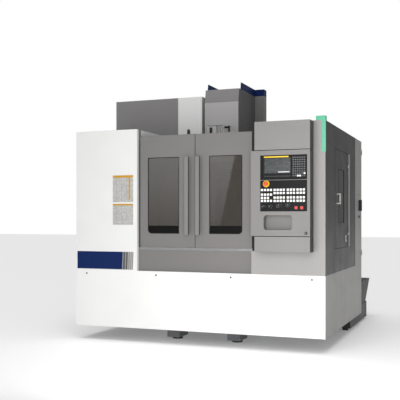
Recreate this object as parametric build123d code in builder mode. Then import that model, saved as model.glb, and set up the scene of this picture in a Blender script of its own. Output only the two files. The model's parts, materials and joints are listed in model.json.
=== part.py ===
from build123d import *
import os

# A vertical machining centre in a sheet metal enclosure, in millimetres.
# X is to the right of the operator, Y runs back into the machine, Z is up from the floor.
# Every depth below is measured behind the flat front plane of the enclosure.

# Enclosure
half_width = 1200
body_depth = 1890
body_top = 1972
skirt_bottom = 130
skirt_top = 660
sheet = 2
fold = 28
panel_depth = 36
wall_gap = 0.3

# Reach in front of and behind the enclosure
console_reach = 131
stop_height = 30
chute_reach = 850

# Origin: the middle of the footprint, on the floor
front_y = (console_reach + stop_height - body_depth - chute_reach) / 2

# Door opening and sliding doors
left_panel_width = 645
right_wing_width = 650
opening_left = left_panel_width - half_width
opening_right = half_width - right_wing_width
channel_right = opening_right + 69
channel_bottom = skirt_top + 202
door_side_gap_left = 15
door_side_gap_right = 6
door_parting = 10
door_gap = 1
door_clearance = 0.3
door_bottom = skirt_top + 220
door_top = body_top - 64
door_depth = panel_depth + 4
door_thickness = 26
door_flange = 36
left_window_outer = 94
left_window_inner = 159
right_window_inner = 135
right_window_outer = 95
window_low = door_bottom + 127
window_high = door_top - 203
window_corner = 37
window_lap = 25
glass = 6
track_reach = 1010
track_height = 24
guide_size = 30
guide_drop = 58

# Door handles
handle_left = door_parting - 91
handle_right = door_parting + 15
handle_width = 38
handle_stand = 45
handle_low = window_low - 10
handle_high = window_high - 2
handle_sheet = 4
handle_lip = 10
handle_web = 12

# Side doors
side_door_front = 418
side_door_rear = 1073
side_door_low = skirt_top + 215
side_door_high = body_top - 203
side_door_thickness = 22
side_gap = 2
side_window_front = side_door_front + 173
side_window_rear = side_door_rear - 216
side_window_low = side_door_low + 228
side_window_high = side_door_high - 170
side_handle_depth = side_door_front + 87
side_handle_length = 96
side_handle_middle = (side_window_low + side_window_high) / 2 - 29
side_handle_stand = 36
side_handle_bar = 12
side_rail_width = 22
side_rail_stand = 12

# Knuckle hinges of the side doors and of the cabinet door
knuckle_radius = 5
knuckle_pin = 3
knuckle_length = 60
knuckle_share = 3
knuckle_stand = 6
leaf_width = 20
leaf_thickness = 2
hinge_inset = 120

# Electrical cabinet and its main switch
cabinet_width = 640
cabinet_depth = 405
cabinet_door_thickness = 24
cabinet_gap = 1.5
switch_setback = 185
switch_rise = 623
switch_height = skirt_top + switch_rise
switch_length = 116
switch_width = 22
switch_stand = 34
switch_plate = 70

# Swivelling control console and the fixed boxes above and below it
console_left = opening_right + 38
console_right = half_width - 101
console_low = channel_bottom + 134
console_high = body_top - 254
box_high = body_top - 7
box_gap = 5.5
console_sheet = 3
console_back_gap = 2
console_hinge_inset = 12
console_hinge_depth = -10
hinge_pin_radius = 6
hinge_pin_length = 12
unit_left = console_left + 83
unit_right = console_right - 24.5
unit_back = 41
unit_proud = 2
display_high = console_high - 41
display_low = display_high - 207
screen_left = unit_left + 38
screen_width = 222
screen_height = 124
screen_rise = 57
screen_sink = 2
panel_high = display_low - 5
panel_height = 261
panel_low = panel_high - panel_height
tray_left = console_left + 112
tray_width = 246
tray_low = console_low + 51
tray_height = 125
tray_sink = 66
tray_corner = 25
lock_inset = 34
lock_rise = 26
lock_radius = 11

# Controls on the console
key_size = 18
key_pitch = 26.3
key_stand = 3
keypad_size = 14
keypad_pitch = 19
keypad_rows = 9
keypad_columns = 6
keypad_drop = 24
key_inset = 16
left_key_rows = (181, 142, 114, 89)
left_key_counts = (4, 4, 3, 4)
right_key_rows = (181, 154, 116, 88)
right_key_insets = (127, 240.5, 324)
right_key_counts = (4, 3, 3)
stop_x = unit_left + 53
stop_z = panel_high - 28
stop_radius = 20
stop_ring_radius = 28.5
stop_ring_height = 6
stop_travel = 6
button_size = 22
button_height = 7
button_travel = 3
button_z = panel_low + 30
cycle_start_x = unit_right - 90.5
feed_hold_x = unit_right - 43
knob_radius = 12
knob_height = 18
knob_z = panel_low + 37
knob_x = (unit_left + 29, unit_left + 87)
dial_radius = 17
dial_height = 20
dial_x = (unit_left + 164, unit_left + 245)
dial_z = (panel_low + 43, panel_low + 46)
stem_radius = 5
stem_length = 18
stem_gap = 0.3

# Status lamp at the top right front corner
lamp_cap_width = 81
lamp_strip = 15
lamp_length = 266
lamp_cap_height = 38
lamp_cap_depth = 60

# Axis travels
x_travel = 400
y_travel = 250
z_travel = 500
end_margin = 15

# Column
column_half = 300
column_front = body_depth - 470
column_depth = 440
column_top = body_top - 7
column_cap = 25
column_wall = 45
arch_half = 190
arch_height = 340

# Base casting and feet
base_half = 400
base_front = 258
base_rear = column_front + column_depth
base_top = 560
base_wall = 60
base_deck = 70
trough_half = 120
trough_depth = 105
foot_width = 124
foot_length = 220
foot_x = 300
foot_low = 24
pad_radius = 50
pad_height = 12
stud_radius = 12
stud_height = 62
nut_radius = 20

# Linear guides, ball screws and motors
rail_width = 35
rail_height = 28
guide_height = 55
carriage_width = 70
carriage_length = 110
carriage_lift = 7
guide_gap = 0.3
screw_radius = 16
screw_gap = 0.3
bracket_thickness = 30
motor_size = 130
motor_length = 120
motor_trim = 4
small_motor_size = 76
motor_flange = 14

# Y axis, on the base
column_throat = 540
spindle_depth = column_front - column_throat
y_rail_x = 310
y_carriage_offset = 180
y_screw_drop = 30
y_bracket_front = base_front + 142

# Saddle, on the Y axis
saddle_thickness = 120
x_rail_offset = 170
x_carriage_offset = 150
x_screw_rise = 9
x_trough = 60
x_trough_depth = 45

# Table
table_half = 500
table_depth = 500
table_thickness = 110
slot_count = 5
slot_pitch = 80
slot_width = 18
slot_throat = 20
slot_foot_width = 30
slot_foot_height = 13

# Telescopic way cover in front of the saddle
cover_length = 300
cover_sheet = 3
cover_step = 3.5
cover_half = 470
cover_skirt = 100

# Z axis and spindle head
z_rail_x = 200
carriage_rise = 70
carriage_span = 340
z_screw_setback = 75
z_bracket_thickness = 40
z_bracket_clearance = 10
head_half = 160
head_back_half = 245
head_back_thickness = 40
head_gusset = 50
head_clearance = 10
head_height = 470
head_front = spindle_depth - 240
head_belly = 290
head_chin = 230
nose_radius = 95
nose_drop = 65
spindle_radius = 75
spindle_running = 0.05
spindle_lip = 15
spindle_lip_radius = 64
spindle_length = 315
taper_large = 44.45
taper_length = 65
taper_rate = 7 / 24
drawbar_radius = 9
spindle_motor_size = 190
spindle_motor_height = 410
spindle_motor_inset = 6
spindle_motor_chamfer = 16
booster_left = -103
booster_right = -10
booster_depth = 100
booster_height = 130
fitting_width = 76
fitting_radius = 8

# Tool holder
holder_gap = 0.03
flange_radius = 31.5
flange_height = 18
flange_drop = 2
flange_groove = 4
collet_radius = 21
collet_length = 60
tool_radius = 6
tool_length = 50

# Tool magazine
disc_x = -700
disc_rise = 10
disc_lead = 48
disc_thickness = 18
disc_radius = 363
pocket_count = 24
pocket_circle = 338
pocket_radius = 38
pocket_bore = 32
pocket_length = 95
hub_radius = 62
hub_length = 70
axle_radius = 30
axle_gap = 0.05
bracket_half = 70
bracket_plate = 60
bracket_gap = 5
arm_thickness = 14
arm_half_width = 38
fork_radius = 37
fork_outer = 56
fork_relief = 4
fork_length = 62
fork_gap = 0.5
arm_shaft_radius = 28
gearbox_gap = 44
gearbox_height = 90
gearbox_half = 60

# Hood over the spindle motor
hood_half = 177.5
hood_wide_half = 276
hood_front = spindle_depth - 112
hood_step = column_front - 96
hood_rear = column_front - 2
hood_height = 470
hood_bevel_height = 133
hood_bevel_depth = 25
trim_height = 70
trim_thickness = 6
trim_setback = 79
trim_slant = 13

# Magazine cover on top of the enclosure
cover_split = -488
cover_right = -225
cover_front_gap = 16
cover_rear = hood_step - 24
cover_height = 408

# Splash liner inside
liner_x = 560
shelf_drop = 182
liner_setback = 80
liner_rear = spindle_depth - liner_setback
tray_inner = 515
tray_inner_rise = 10
tray_rise = 130

# Coolant tank and chip chute
tank_gap = 40
tank_inset = 35
tank_front = body_depth - 491
tank_reach = 590
tank_rear = body_depth + tank_reach
tank_low = 25
tank_top = 198
tank_sheet = 3
tank_wheel = 30
chute_inset = 5
chute_width = 440
chute_height = 245
chute_foot_reach = 538
chute_foot = body_depth + chute_foot_reach

# Skirt screws
skirt_screw_inset = 115
skirt_screw_drop = 34
skirt_screw_radius = 9
skirt_screw_length = 12
skirt_screw_sink = 0.5

# Places that follow from the sizes above
door_left = opening_left + door_side_gap_left
door_right = opening_right - door_side_gap_right
door_back = door_depth + door_thickness
track_low = door_bottom - track_height
track_back = door_back + door_gap + guide_size + door_clearance
base_low = skirt_bottom
trough_floor = base_top - trough_depth
y_screw_z = base_top - y_screw_drop
y_rail_front = spindle_depth - y_travel - y_carriage_offset - carriage_length / 2 - end_margin
y_rail_rear = spindle_depth + y_travel + y_carriage_offset + carriage_length / 2 + end_margin
saddle_half = x_travel + x_carriage_offset + carriage_length / 2 + end_margin
saddle_low = base_top + guide_height
saddle_top = saddle_low + saddle_thickness
saddle_front = spindle_depth - table_depth / 2
saddle_rear = spindle_depth + table_depth / 2
x_screw_z = saddle_top + x_screw_rise
table_low = saddle_top + guide_height
table_top = table_low + table_thickness
arch_top = base_top + arch_height
head_back = column_front - guide_height
head_top = column_top - column_cap - head_clearance
head_back_low = head_top - head_height
head_low = head_top - head_belly
nose_low = head_low - nose_drop
spindle_tip = nose_low - spindle_lip
spindle_top = nose_low + spindle_length
z_screw_depth = column_front - z_screw_setback
z_bracket_high = head_back_low - z_travel - z_bracket_clearance
z_bracket_low = z_bracket_high - z_bracket_thickness
z_carriage_low = head_back_low + carriage_rise
z_carriage_high = z_carriage_low + carriage_span
z_rail_low = z_carriage_low - carriage_length / 2 - z_travel - end_margin
z_rail_high = z_carriage_high + carriage_length / 2 + end_margin / 3
hood_top = column_top + hood_height
hood_bevel = hood_top - hood_bevel_height
trim_top = hood_top + trim_height
trim_front = hood_front + trim_setback
disc_z = body_top - disc_rise
disc_front = spindle_depth - disc_lead
pocket_start = disc_front + disc_thickness
arm_x = disc_x / 2
arm_low = spindle_tip - flange_drop - flange_height + (flange_height - arm_thickness) / 2
gearbox_low = arm_low + arm_thickness + gearbox_gap
gearbox_high = gearbox_low + gearbox_height
cover_front = disc_front - cover_front_gap - sheet
cover_roof = body_top + cover_height
cover_low = saddle_low - end_margin
cover_top = cover_low + cover_skirt
cabinet_left = half_width - cabinet_width
cabinet_front = body_depth - cabinet_depth
switch_depth = body_depth - switch_setback
screen_right = screen_left + screen_width
screen_low = display_low + screen_rise
screen_high = screen_low + screen_height
tray_right = tray_left + tray_width
tray_high = tray_low + tray_height
lock_x = console_right - lock_inset
lock_height = console_low + lock_rise
console_hinge_x = console_left + console_hinge_inset
face_depth = -console_reach
console_back = -console_back_gap
unit_front = face_depth - unit_proud
lamp_low = body_top - lamp_length
lamp_left = half_width - lamp_cap_width
shelf_z = body_top - shelf_drop
tray_inner_z = base_top + tray_inner_rise
tray_outer_z = tray_inner_z + tray_rise
tank_right = half_width - tank_inset
tank_left = base_half + tank_gap
chute_right = tank_right - chute_inset
chute_left = chute_right - chute_width
chute_top = tank_top + chute_height
chute_rear = body_depth + chute_reach
skirt_screw_z = skirt_top - skirt_screw_drop


def y_at(depth):
    """The Y of a depth behind the front plane."""
    return front_y + depth


def block(x, depth, z, mode=Mode.ADD):
    """A box between two X values, two depths behind the front plane and two heights."""
    middle = ((x[0] + x[1]) / 2, y_at((depth[0] + depth[1]) / 2), (z[0] + z[1]) / 2)
    with Locations(middle):
        Box(x[1] - x[0], depth[1] - depth[0], z[1] - z[0], mode=mode)


def facing(depth):
    """A sketch plane at a depth, seen from the front: X across, Z up, extruded to the front."""
    return Plane.XZ.offset(-y_at(depth))


def side_on(x):
    """A sketch plane at an X, seen from the right: Y across, Z up, extruded to the right."""
    return Plane.YZ.offset(x)


def level(z):
    """A level sketch plane at a height, extruded upwards."""
    return Plane.XY.offset(z)


def upright_rod(x, depth, z, radius, mode=Mode.ADD):
    """A round upright rod between two heights."""
    with BuildSketch(level(z[0])) as section:
        with Locations((x, y_at(depth))):
            Circle(radius)
    extrude(section.sketch, amount=z[1] - z[0], mode=mode)


def deep_rod(x, z, depth, radius, mode=Mode.ADD):
    """A round rod along the depth of the machine, between two depths."""
    with BuildSketch(facing(depth[1])) as section:
        with Locations((x, z)):
            Circle(radius)
    extrude(section.sketch, amount=depth[1] - depth[0], mode=mode)


def cross_rod(depth, z, x, radius, mode=Mode.ADD):
    """A round rod across the machine, between two X values."""
    with BuildSketch(side_on(x[0])) as section:
        with Locations((y_at(depth), z)):
            Circle(radius)
    extrude(section.sketch, amount=x[1] - x[0], mode=mode)


def write(piece, label):
    """Names a finished piece and writes its file."""
    piece.part.label = label
    export_step(piece.part, f"parts/{label}.step")


def hinge_leaf(x_face, depth, z, side, toward, bored):
    """A leaf on the outside of a side face, with its share of the knuckles.

    The leaf runs from the knuckle axis toward the front (-1) or the rear (1). The bored leaf
    carries the middle knuckle, the other one the pin and both end knuckles.
    """
    third = knuckle_length / knuckle_share
    axis_x = x_face + side * knuckle_stand
    edge = toward * knuckle_radius / 2
    low, high = z - knuckle_length / 2, z + knuckle_length / 2
    spans = [(low + third + wall_gap, high - third - wall_gap)]
    if not bored:
        spans = [(low, low + third), (high - third, high)]
        upright_rod(axis_x, depth, (low, high), knuckle_pin)
    for span in spans:
        upright_rod(axis_x, depth, span, knuckle_radius)
        block(
            sorted((x_face, axis_x)),
            sorted((depth + edge / 2, depth + toward * knuckle_radius)),
            span,
        )
        block(
            sorted((x_face, x_face + side * leaf_thickness)),
            sorted((depth + edge / 2, depth + toward * leaf_width)),
            span,
        )
    if bored:
        upright_rod(axis_x, depth, (low, high), knuckle_pin + axle_gap, Mode.SUBTRACT)


os.makedirs("parts", exist_ok=True)

# Base casting: a deck on ribbed walls, with a trough for the Y screw and six foot blocks
foot_depths = (
    (base_front, base_front + foot_length),
    ((base_front + base_rear - foot_length) / 2, (base_front + base_rear + foot_length) / 2),
    (base_rear - foot_length, base_rear),
)
rib_length = (base_rear - base_front - 4 * base_wall) / 3
with BuildPart() as base_casting:
    block((-base_half, base_half), (base_front, base_rear), (base_low, base_top))
    block(
        (-trough_half, trough_half),
        (base_front, column_front),
        (trough_floor, base_top),
        Mode.SUBTRACT,
    )
    for bay in range(3):
        bay_front = base_front + base_wall + bay * (rib_length + base_wall)
        for side in (-1, 1):
            bay_x = sorted((side * base_wall / 2, side * (base_half - base_wall)))
            block(
                bay_x,
                (bay_front, bay_front + rib_length),
                (base_low, trough_floor - base_deck),
                Mode.SUBTRACT,
            )
    for side in (-1, 1):
        for near, far in foot_depths:
            block(
                (side * foot_x - foot_width / 2, side * foot_x + foot_width / 2),
                (near, far),
                (foot_low, base_low),
            )
            upright_rod(
                side * foot_x,
                (near + far) / 2,
                (foot_low, base_low),
                stud_radius + stem_gap,
                Mode.SUBTRACT,
            )
    block(
        (-trough_half, trough_half),
        (y_bracket_front, y_bracket_front + bracket_thickness),
        (trough_floor, base_top + bracket_thickness),
    )
    block(
        (-trough_half, trough_half),
        (y_rail_rear - bracket_thickness, y_rail_rear),
        (trough_floor, base_top),
    )
    deep_rod(
        0,
        y_screw_z,
        (y_bracket_front, y_rail_rear),
        screw_radius + screw_gap,
        Mode.SUBTRACT,
    )
write(base_casting, "base_casting")

# Levelling feet: pad, stud and lock nut under each foot block
with BuildPart() as levelling_feet:
    for side in (-1, 1):
        for near, far in foot_depths:
            middle = (near + far) / 2
            upright_rod(side * foot_x, middle, (0, pad_height), pad_radius)
            upright_rod(side * foot_x, middle, (pad_height, foot_low), nut_radius)
            upright_rod(side * foot_x, middle, (foot_low, foot_low + stud_height), stud_radius)
write(levelling_feet, "levelling_feet")

# Column: a hollow casting on two legs, with screw brackets in front and a lip on top
with BuildPart() as column:
    block((-column_half, column_half), (column_front, base_rear), (base_top, column_top))
    block(
        (-hood_wide_half, hood_wide_half),
        (hood_step, column_front),
        (column_top - column_cap, column_top),
    )
    block(
        (-arch_half, arch_half),
        (column_front, base_rear),
        (base_top, arch_top),
        Mode.SUBTRACT,
    )
    block(
        (-column_half + column_wall, column_half - column_wall),
        (column_front + column_wall, base_rear),
        (arch_top + column_wall, (arch_top + column_top - column_wall) / 2),
        Mode.SUBTRACT,
    )
    block(
        (-column_half + column_wall, column_half - column_wall),
        (column_front + column_wall, base_rear),
        ((arch_top + column_top + column_wall) / 2, column_top - column_wall),
        Mode.SUBTRACT,
    )
    block(
        (-motor_size / 2, motor_size / 2),
        (z_screw_depth - motor_size / 2, column_front),
        (z_bracket_low, z_bracket_high),
    )
    block(
        (-motor_size / 2, motor_size / 2),
        (z_screw_depth - motor_size / 2, hood_step),
        (column_top - column_cap, column_top),
    )
    upright_rod(
        0,
        z_screw_depth,
        (z_bracket_low, column_top),
        screw_radius + screw_gap,
        Mode.SUBTRACT,
    )
write(column, "column")

# Linear guide rails fixed to the base and to the column
with BuildPart() as linear_rails:
    for side in (-1, 1):
        block(
            (side * y_rail_x - rail_width / 2, side * y_rail_x + rail_width / 2),
            (y_rail_front, y_rail_rear),
            (base_top, base_top + rail_height),
        )
        block(
            (side * z_rail_x - rail_width / 2, side * z_rail_x + rail_width / 2),
            (column_front - rail_height, column_front),
            (z_rail_low, z_rail_high),
        )
write(linear_rails, "linear_rails")

# Servo motors of the Y and Z axes, each a flange, a body and an encoder cap
y_motor_front = y_bracket_front - motor_flange - motor_length
with BuildPart() as axis_motors:
    block(
        (-motor_size / 2, motor_size / 2),
        (y_bracket_front - motor_flange, y_bracket_front),
        (y_screw_z - motor_size / 2, y_screw_z + motor_size / 2),
    )
    deep_rod(0, y_screw_z, (y_motor_front, y_bracket_front - motor_flange), motor_size / 2 - motor_trim)
    block(
        (-motor_size / 2, motor_size / 2),
        (z_screw_depth - motor_size / 2, z_screw_depth + motor_size / 2),
        (column_top, column_top + motor_flange),
    )
    upright_rod(
        0,
        z_screw_depth,
        (column_top + motor_flange, column_top + motor_flange + motor_length),
        motor_size / 2 - motor_trim,
    )
write(axis_motors, "axis_motors")


# Ball screws of the three axes
with BuildPart() as y_ball_screw:
    deep_rod(0, y_screw_z, (y_bracket_front + screw_gap, y_rail_rear), screw_radius)
write(y_ball_screw, "y_ball_screw")

with BuildPart() as z_ball_screw:
    upright_rod(0, z_screw_depth, (z_bracket_low, column_top - screw_gap), screw_radius)
write(z_ball_screw, "z_ball_screw")

with BuildPart() as x_ball_screw:
    cross_rod(
        spindle_depth,
        x_screw_z,
        (-saddle_half, saddle_half - screw_gap),
        screw_radius,
    )
write(x_ball_screw, "x_ball_screw")

# Saddle: a plate with a trough for the X screw, and the nut block of the Y screw below it
with BuildPart() as saddle:
    block((-saddle_half, saddle_half), (saddle_front, saddle_rear), (saddle_low, saddle_top))
    block(
        (-saddle_half, saddle_half),
        (spindle_depth - x_trough, spindle_depth + x_trough),
        (saddle_top - x_trough_depth, saddle_top),
        Mode.SUBTRACT,
    )
    for side in (-1, 1):
        end_x = sorted((side * saddle_half, side * (saddle_half - bracket_thickness)))
        block(
            end_x,
            (spindle_depth - x_trough, spindle_depth + x_trough),
            (saddle_top - x_trough_depth, x_screw_z + 1.5 * screw_radius),
        )
    block(
        (-x_trough, x_trough),
        (spindle_depth - bracket_thickness, spindle_depth + bracket_thickness),
        (y_screw_z - 2 * screw_radius, saddle_low),
    )
    deep_rod(
        0,
        y_screw_z,
        (spindle_depth - bracket_thickness, spindle_depth + bracket_thickness),
        screw_radius + screw_gap,
        Mode.SUBTRACT,
    )
    cross_rod(
        spindle_depth,
        x_screw_z,
        (-saddle_half, saddle_half),
        screw_radius + screw_gap,
        Mode.SUBTRACT,
    )
write(saddle, "saddle")


def carriage_under(x, depth, along_x, seat_z):
    """A guide carriage under a plate, with a channel that runs over its rail."""
    half_x = carriage_length / 2 if along_x else carriage_width / 2
    half_y = carriage_width / 2 if along_x else carriage_length / 2
    slot = rail_width / 2 + guide_gap
    rail_seat = seat_z - guide_height
    block(
        (x - half_x, x + half_x),
        (depth - half_y, depth + half_y),
        (rail_seat + carriage_lift, seat_z),
    )
    block(
        (x - half_x, x + half_x) if along_x else (x - slot, x + slot),
        (depth - slot, depth + slot) if along_x else (depth - half_y, depth + half_y),
        (rail_seat + carriage_lift, rail_seat + rail_height + guide_gap),
        Mode.SUBTRACT,
    )


# Guides on the saddle: the X rails, the Y carriages and the rear section of the way cover
rear_cover_top = cover_top + 2 * cover_step
rear_cover_half = cover_half + 2 * cover_step


def way_cover(front, rear, top, half):
    """One section of the way cover: an upside-down channel of sheet."""
    block((-half, half), (front, rear), (cover_low, top))
    block(
        (-half + cover_sheet, half - cover_sheet),
        (front, rear),
        (cover_low, top - cover_sheet),
        Mode.SUBTRACT,
    )


with BuildPart() as saddle_guides:
    way_cover(saddle_front - cover_length, saddle_front, rear_cover_top, rear_cover_half)
    for side in (-1, 1):
        rail_depth = spindle_depth + side * x_rail_offset
        block(
            (-saddle_half, saddle_half),
            (rail_depth - rail_width / 2, rail_depth + rail_width / 2),
            (saddle_top, saddle_top + rail_height),
        )
        for end in (-1, 1):
            carriage_under(
                side * y_rail_x,
                spindle_depth + end * y_carriage_offset,
                False,
                saddle_low,
            )
write(saddle_guides, "saddle_guides")

# The middle section moves half as far as the saddle does
cover_front_start = saddle_front - y_travel - cover_length
middle_cover_start = (cover_front_start + saddle_front - cover_length) / 2
with BuildPart() as middle_way_cover:
    way_cover(
        middle_cover_start,
        middle_cover_start + cover_length,
        cover_top + cover_step,
        cover_half + cover_step,
    )
write(middle_way_cover, "middle_way_cover")

# X axis motor on the right end of the saddle
x_motor_start = saddle_half + motor_flange
with BuildPart() as x_axis_motor:
    block(
        (saddle_half, x_motor_start),
        (spindle_depth - small_motor_size / 2, spindle_depth + small_motor_size / 2),
        (x_screw_z - small_motor_size / 2, x_screw_z + small_motor_size / 2),
    )
    cross_rod(
        spindle_depth,
        x_screw_z,
        (x_motor_start, x_motor_start + motor_length),
        small_motor_size / 2 - motor_trim,
    )
write(x_axis_motor, "x_axis_motor")

# Table with T-slots, its four carriages and the nut block of the X screw
with BuildPart() as table:
    block((-table_half, table_half), (saddle_front, saddle_rear), (table_low, table_top))
    for slot in range(slot_count):
        slot_depth = spindle_depth + (slot - (slot_count - 1) / 2) * slot_pitch
        block(
            (-table_half, table_half),
            (slot_depth - slot_width / 2, slot_depth + slot_width / 2),
            (table_top - slot_throat - slot_foot_height, table_top),
            Mode.SUBTRACT,
        )
        block(
            (-table_half, table_half),
            (slot_depth - slot_foot_width / 2, slot_depth + slot_foot_width / 2),
            (table_top - slot_throat - slot_foot_height, table_top - slot_throat),
            Mode.SUBTRACT,
        )
    block(
        (-x_trough, x_trough),
        (spindle_depth - x_trough + carriage_lift, spindle_depth + x_trough - carriage_lift),
        (x_screw_z - 1.5 * screw_radius, table_low),
    )
    for side in (-1, 1):
        for end in (-1, 1):
            carriage_under(
                end * x_carriage_offset,
                spindle_depth + side * x_rail_offset,
                True,
                table_low,
            )
    cross_rod(
        spindle_depth,
        x_screw_z,
        (-x_trough, x_trough),
        screw_radius + screw_gap,
        Mode.SUBTRACT,
    )
write(table, "table")

# Spindle head: a cast body on a wide back plate, with a round nose and four carriages
with BuildPart() as spindle_head:
    with BuildSketch(side_on(-head_half)):
        with BuildLine():
            Polyline(
                (y_at(head_back), head_back_low),
                (y_at(head_back), head_top),
                (y_at(head_front), head_top),
                (y_at(head_front), head_top - head_chin),
                (y_at(head_front + head_belly - head_chin), head_low),
                (y_at(head_back - head_back_thickness - head_gusset), head_low),
                (y_at(head_back - head_back_thickness), head_back_low),
                close=True,
            )
        make_face()
    extrude(amount=2 * head_half)
    block(
        (-head_back_half, head_back_half),
        (head_back - head_back_thickness, head_back),
        (head_back_low, head_top),
    )
    upright_rod(0, spindle_depth, (nose_low, head_top), nose_radius)
    upright_rod(0, spindle_depth, (nose_low, spindle_top), spindle_radius, Mode.SUBTRACT)
    upright_rod(
        0,
        z_screw_depth,
        (head_back_low, head_top),
        2 * screw_radius,
        Mode.SUBTRACT,
    )
    nut_low = (head_back_low + head_top) / 2
    upright_rod(0, z_screw_depth, (nut_low, nut_low + 2 * bracket_thickness), 2 * screw_radius)
    upright_rod(
        0,
        z_screw_depth,
        (head_back_low, head_top),
        screw_radius + screw_gap,
        Mode.SUBTRACT,
    )
    for side in (-1, 1):
        for middle in (z_carriage_low, z_carriage_high):
            carriage_z = (middle - carriage_length / 2, middle + carriage_length / 2)
            slot = rail_width / 2 + guide_gap
            block(
                (side * z_rail_x - carriage_width / 2, side * z_rail_x + carriage_width / 2),
                (head_back, column_front - carriage_lift),
                carriage_z,
            )
            block(
                (side * z_rail_x - slot, side * z_rail_x + slot),
                (column_front - rail_height - guide_gap, column_front),
                carriage_z,
                Mode.SUBTRACT,
            )
write(spindle_head, "spindle_head")

# Spindle cartridge with its 7/24 taper, turned in one profile
taper_small = taper_large / 2 - taper_length * taper_rate / 2
spindle_plane = Plane(
    origin=(0, y_at(spindle_depth), 0), x_dir=(1, 0, 0), z_dir=(0, -1, 0)
)
spindle_axis = Axis((0, y_at(spindle_depth), 0), (0, 0, 1))
with BuildPart() as spindle:
    with BuildSketch(spindle_plane):
        with BuildLine():
            Polyline(
                (taper_large / 2, spindle_tip),
                (spindle_lip_radius, spindle_tip),
                (spindle_lip_radius, nose_low),
                (spindle_radius - spindle_running, nose_low),
                (spindle_radius - spindle_running, spindle_top - head_clearance),
                (drawbar_radius, spindle_top - head_clearance),
                (drawbar_radius, spindle_tip + taper_length),
                (taper_small, spindle_tip + taper_length),
                close=True,
            )
        make_face()
    revolve(axis=spindle_axis)
write(spindle, "spindle")

# Tool holder in the taper, with a grooved flange, a collet nut and a cutter
flange_top = spindle_tip - flange_drop
flange_low = flange_top - flange_height
collet_low = flange_low - collet_length
with BuildPart() as tool_holder:
    with BuildSketch(spindle_plane):
        with BuildLine():
            Polyline(
                (0, collet_low - tool_length),
                (tool_radius, collet_low - tool_length),
                (tool_radius, collet_low),
                (collet_radius, collet_low),
                (collet_radius, flange_low),
                (flange_radius, flange_low),
                (flange_radius, flange_low + flange_height / 3),
                (flange_radius - flange_groove, flange_low + flange_height / 2),
                (flange_radius, flange_low + 2 * flange_height / 3),
                (flange_radius, flange_top),
                (taper_large / 2 - holder_gap + flange_drop * taper_rate / 2, flange_top),
                (
                    taper_small - holder_gap + taper_rate,
                    spindle_tip + taper_length - 2,
                ),
                (0, spindle_tip + taper_length - 2),
                close=True,
            )
        make_face()
    revolve(axis=spindle_axis)
write(tool_holder, "tool_holder")

# Spindle motor on the head: a flange, a square body and a fan cover
with BuildPart() as spindle_motor:
    motor_half = spindle_motor_size / 2
    block(
        (-motor_half, motor_half),
        (spindle_depth - motor_half, spindle_depth + motor_half),
        (head_top, head_top + motor_flange),
    )
    block(
        (-motor_half + spindle_motor_inset, motor_half - spindle_motor_inset),
        (
            spindle_depth - motor_half + spindle_motor_inset,
            spindle_depth + motor_half - spindle_motor_inset,
        ),
        (head_top + motor_flange, head_top + spindle_motor_height),
    )
    upright_edges = edges().filter_by(Axis.Z).sort_by(SortBy.LENGTH)[-4:]
    chamfer(upright_edges, length=spindle_motor_chamfer)
write(spindle_motor, "spindle_motor")

# Booster and valve block on the front of the head
with BuildPart() as booster:
    block(
        (booster_left, booster_right),
        (head_front, head_front + booster_depth),
        (head_top, head_top + booster_height),
    )
    block(
        (booster_right, booster_right + fitting_width),
        (head_front + booster_depth / 4, head_front + 3 * booster_depth / 4),
        (head_top, head_top + booster_depth / 2),
    )
    for step in range(3):
        upright_rod(
            booster_right + (step + 0.5) * fitting_width / 3,
            head_front + booster_depth / 2,
            (head_top + booster_depth / 2, head_top + booster_height - (step + 1) * 1.5 * fitting_radius),
            fitting_radius,
        )
write(booster, "booster")

# Tool magazine disc with its ring of pockets
with BuildPart() as tool_disc:
    deep_rod(disc_x, disc_z, (disc_front, disc_front + disc_thickness), disc_radius)
    deep_rod(disc_x, disc_z, (pocket_start, pocket_start + hub_length), hub_radius)
    with BuildSketch(facing(pocket_start + pocket_length)):
        with Locations((disc_x, disc_z)):
            with PolarLocations(pocket_circle, pocket_count):
                Circle(pocket_radius)
    extrude(amount=pocket_length)
    with BuildSketch(facing(pocket_start + pocket_length)):
        with Locations((disc_x, disc_z)):
            with PolarLocations(pocket_circle, pocket_count):
                Circle(pocket_bore)
    extrude(amount=pocket_length, mode=Mode.SUBTRACT)
    deep_rod(
        disc_x,
        disc_z,
        (disc_front, pocket_start + hub_length),
        axle_radius + axle_gap,
        Mode.SUBTRACT,
    )
write(tool_disc, "tool_disc")

# Brackets of the magazine: the axle of the disc, and the gearbox of the change arm
with BuildPart() as magazine_bracket:
    axle_start = disc_front + disc_thickness / 2
    bracket_start = pocket_start + hub_length + bracket_gap
    deep_rod(disc_x, disc_z, (axle_start, bracket_start), axle_radius)
    block(
        (disc_x - bracket_half, disc_x + bracket_half),
        (bracket_start, bracket_start + bracket_plate),
        (disc_z - 2 * bracket_half, disc_z + bracket_half),
    )
    block(
        (disc_x - bracket_half, disc_x + bracket_half),
        (bracket_start + bracket_plate, column_front + bracket_plate),
        (disc_z - 2 * bracket_half, disc_z),
    )
    block(
        (disc_x + bracket_half, -column_half),
        (column_front, column_front + bracket_plate),
        (disc_z - 2 * bracket_half, disc_z),
    )
    block(
        (arm_x - gearbox_half, arm_x + gearbox_half),
        (spindle_depth - gearbox_half, column_front),
        (gearbox_low, gearbox_high),
    )
    block(
        (arm_x - gearbox_half, -column_half),
        (column_front, column_front + bracket_plate),
        (gearbox_low, gearbox_high),
    )
    upright_rod(
        arm_x,
        spindle_depth,
        (gearbox_low, gearbox_high - fold),
        arm_shaft_radius + axle_gap,
        Mode.SUBTRACT,
    )
write(magazine_bracket, "magazine_bracket")

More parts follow.
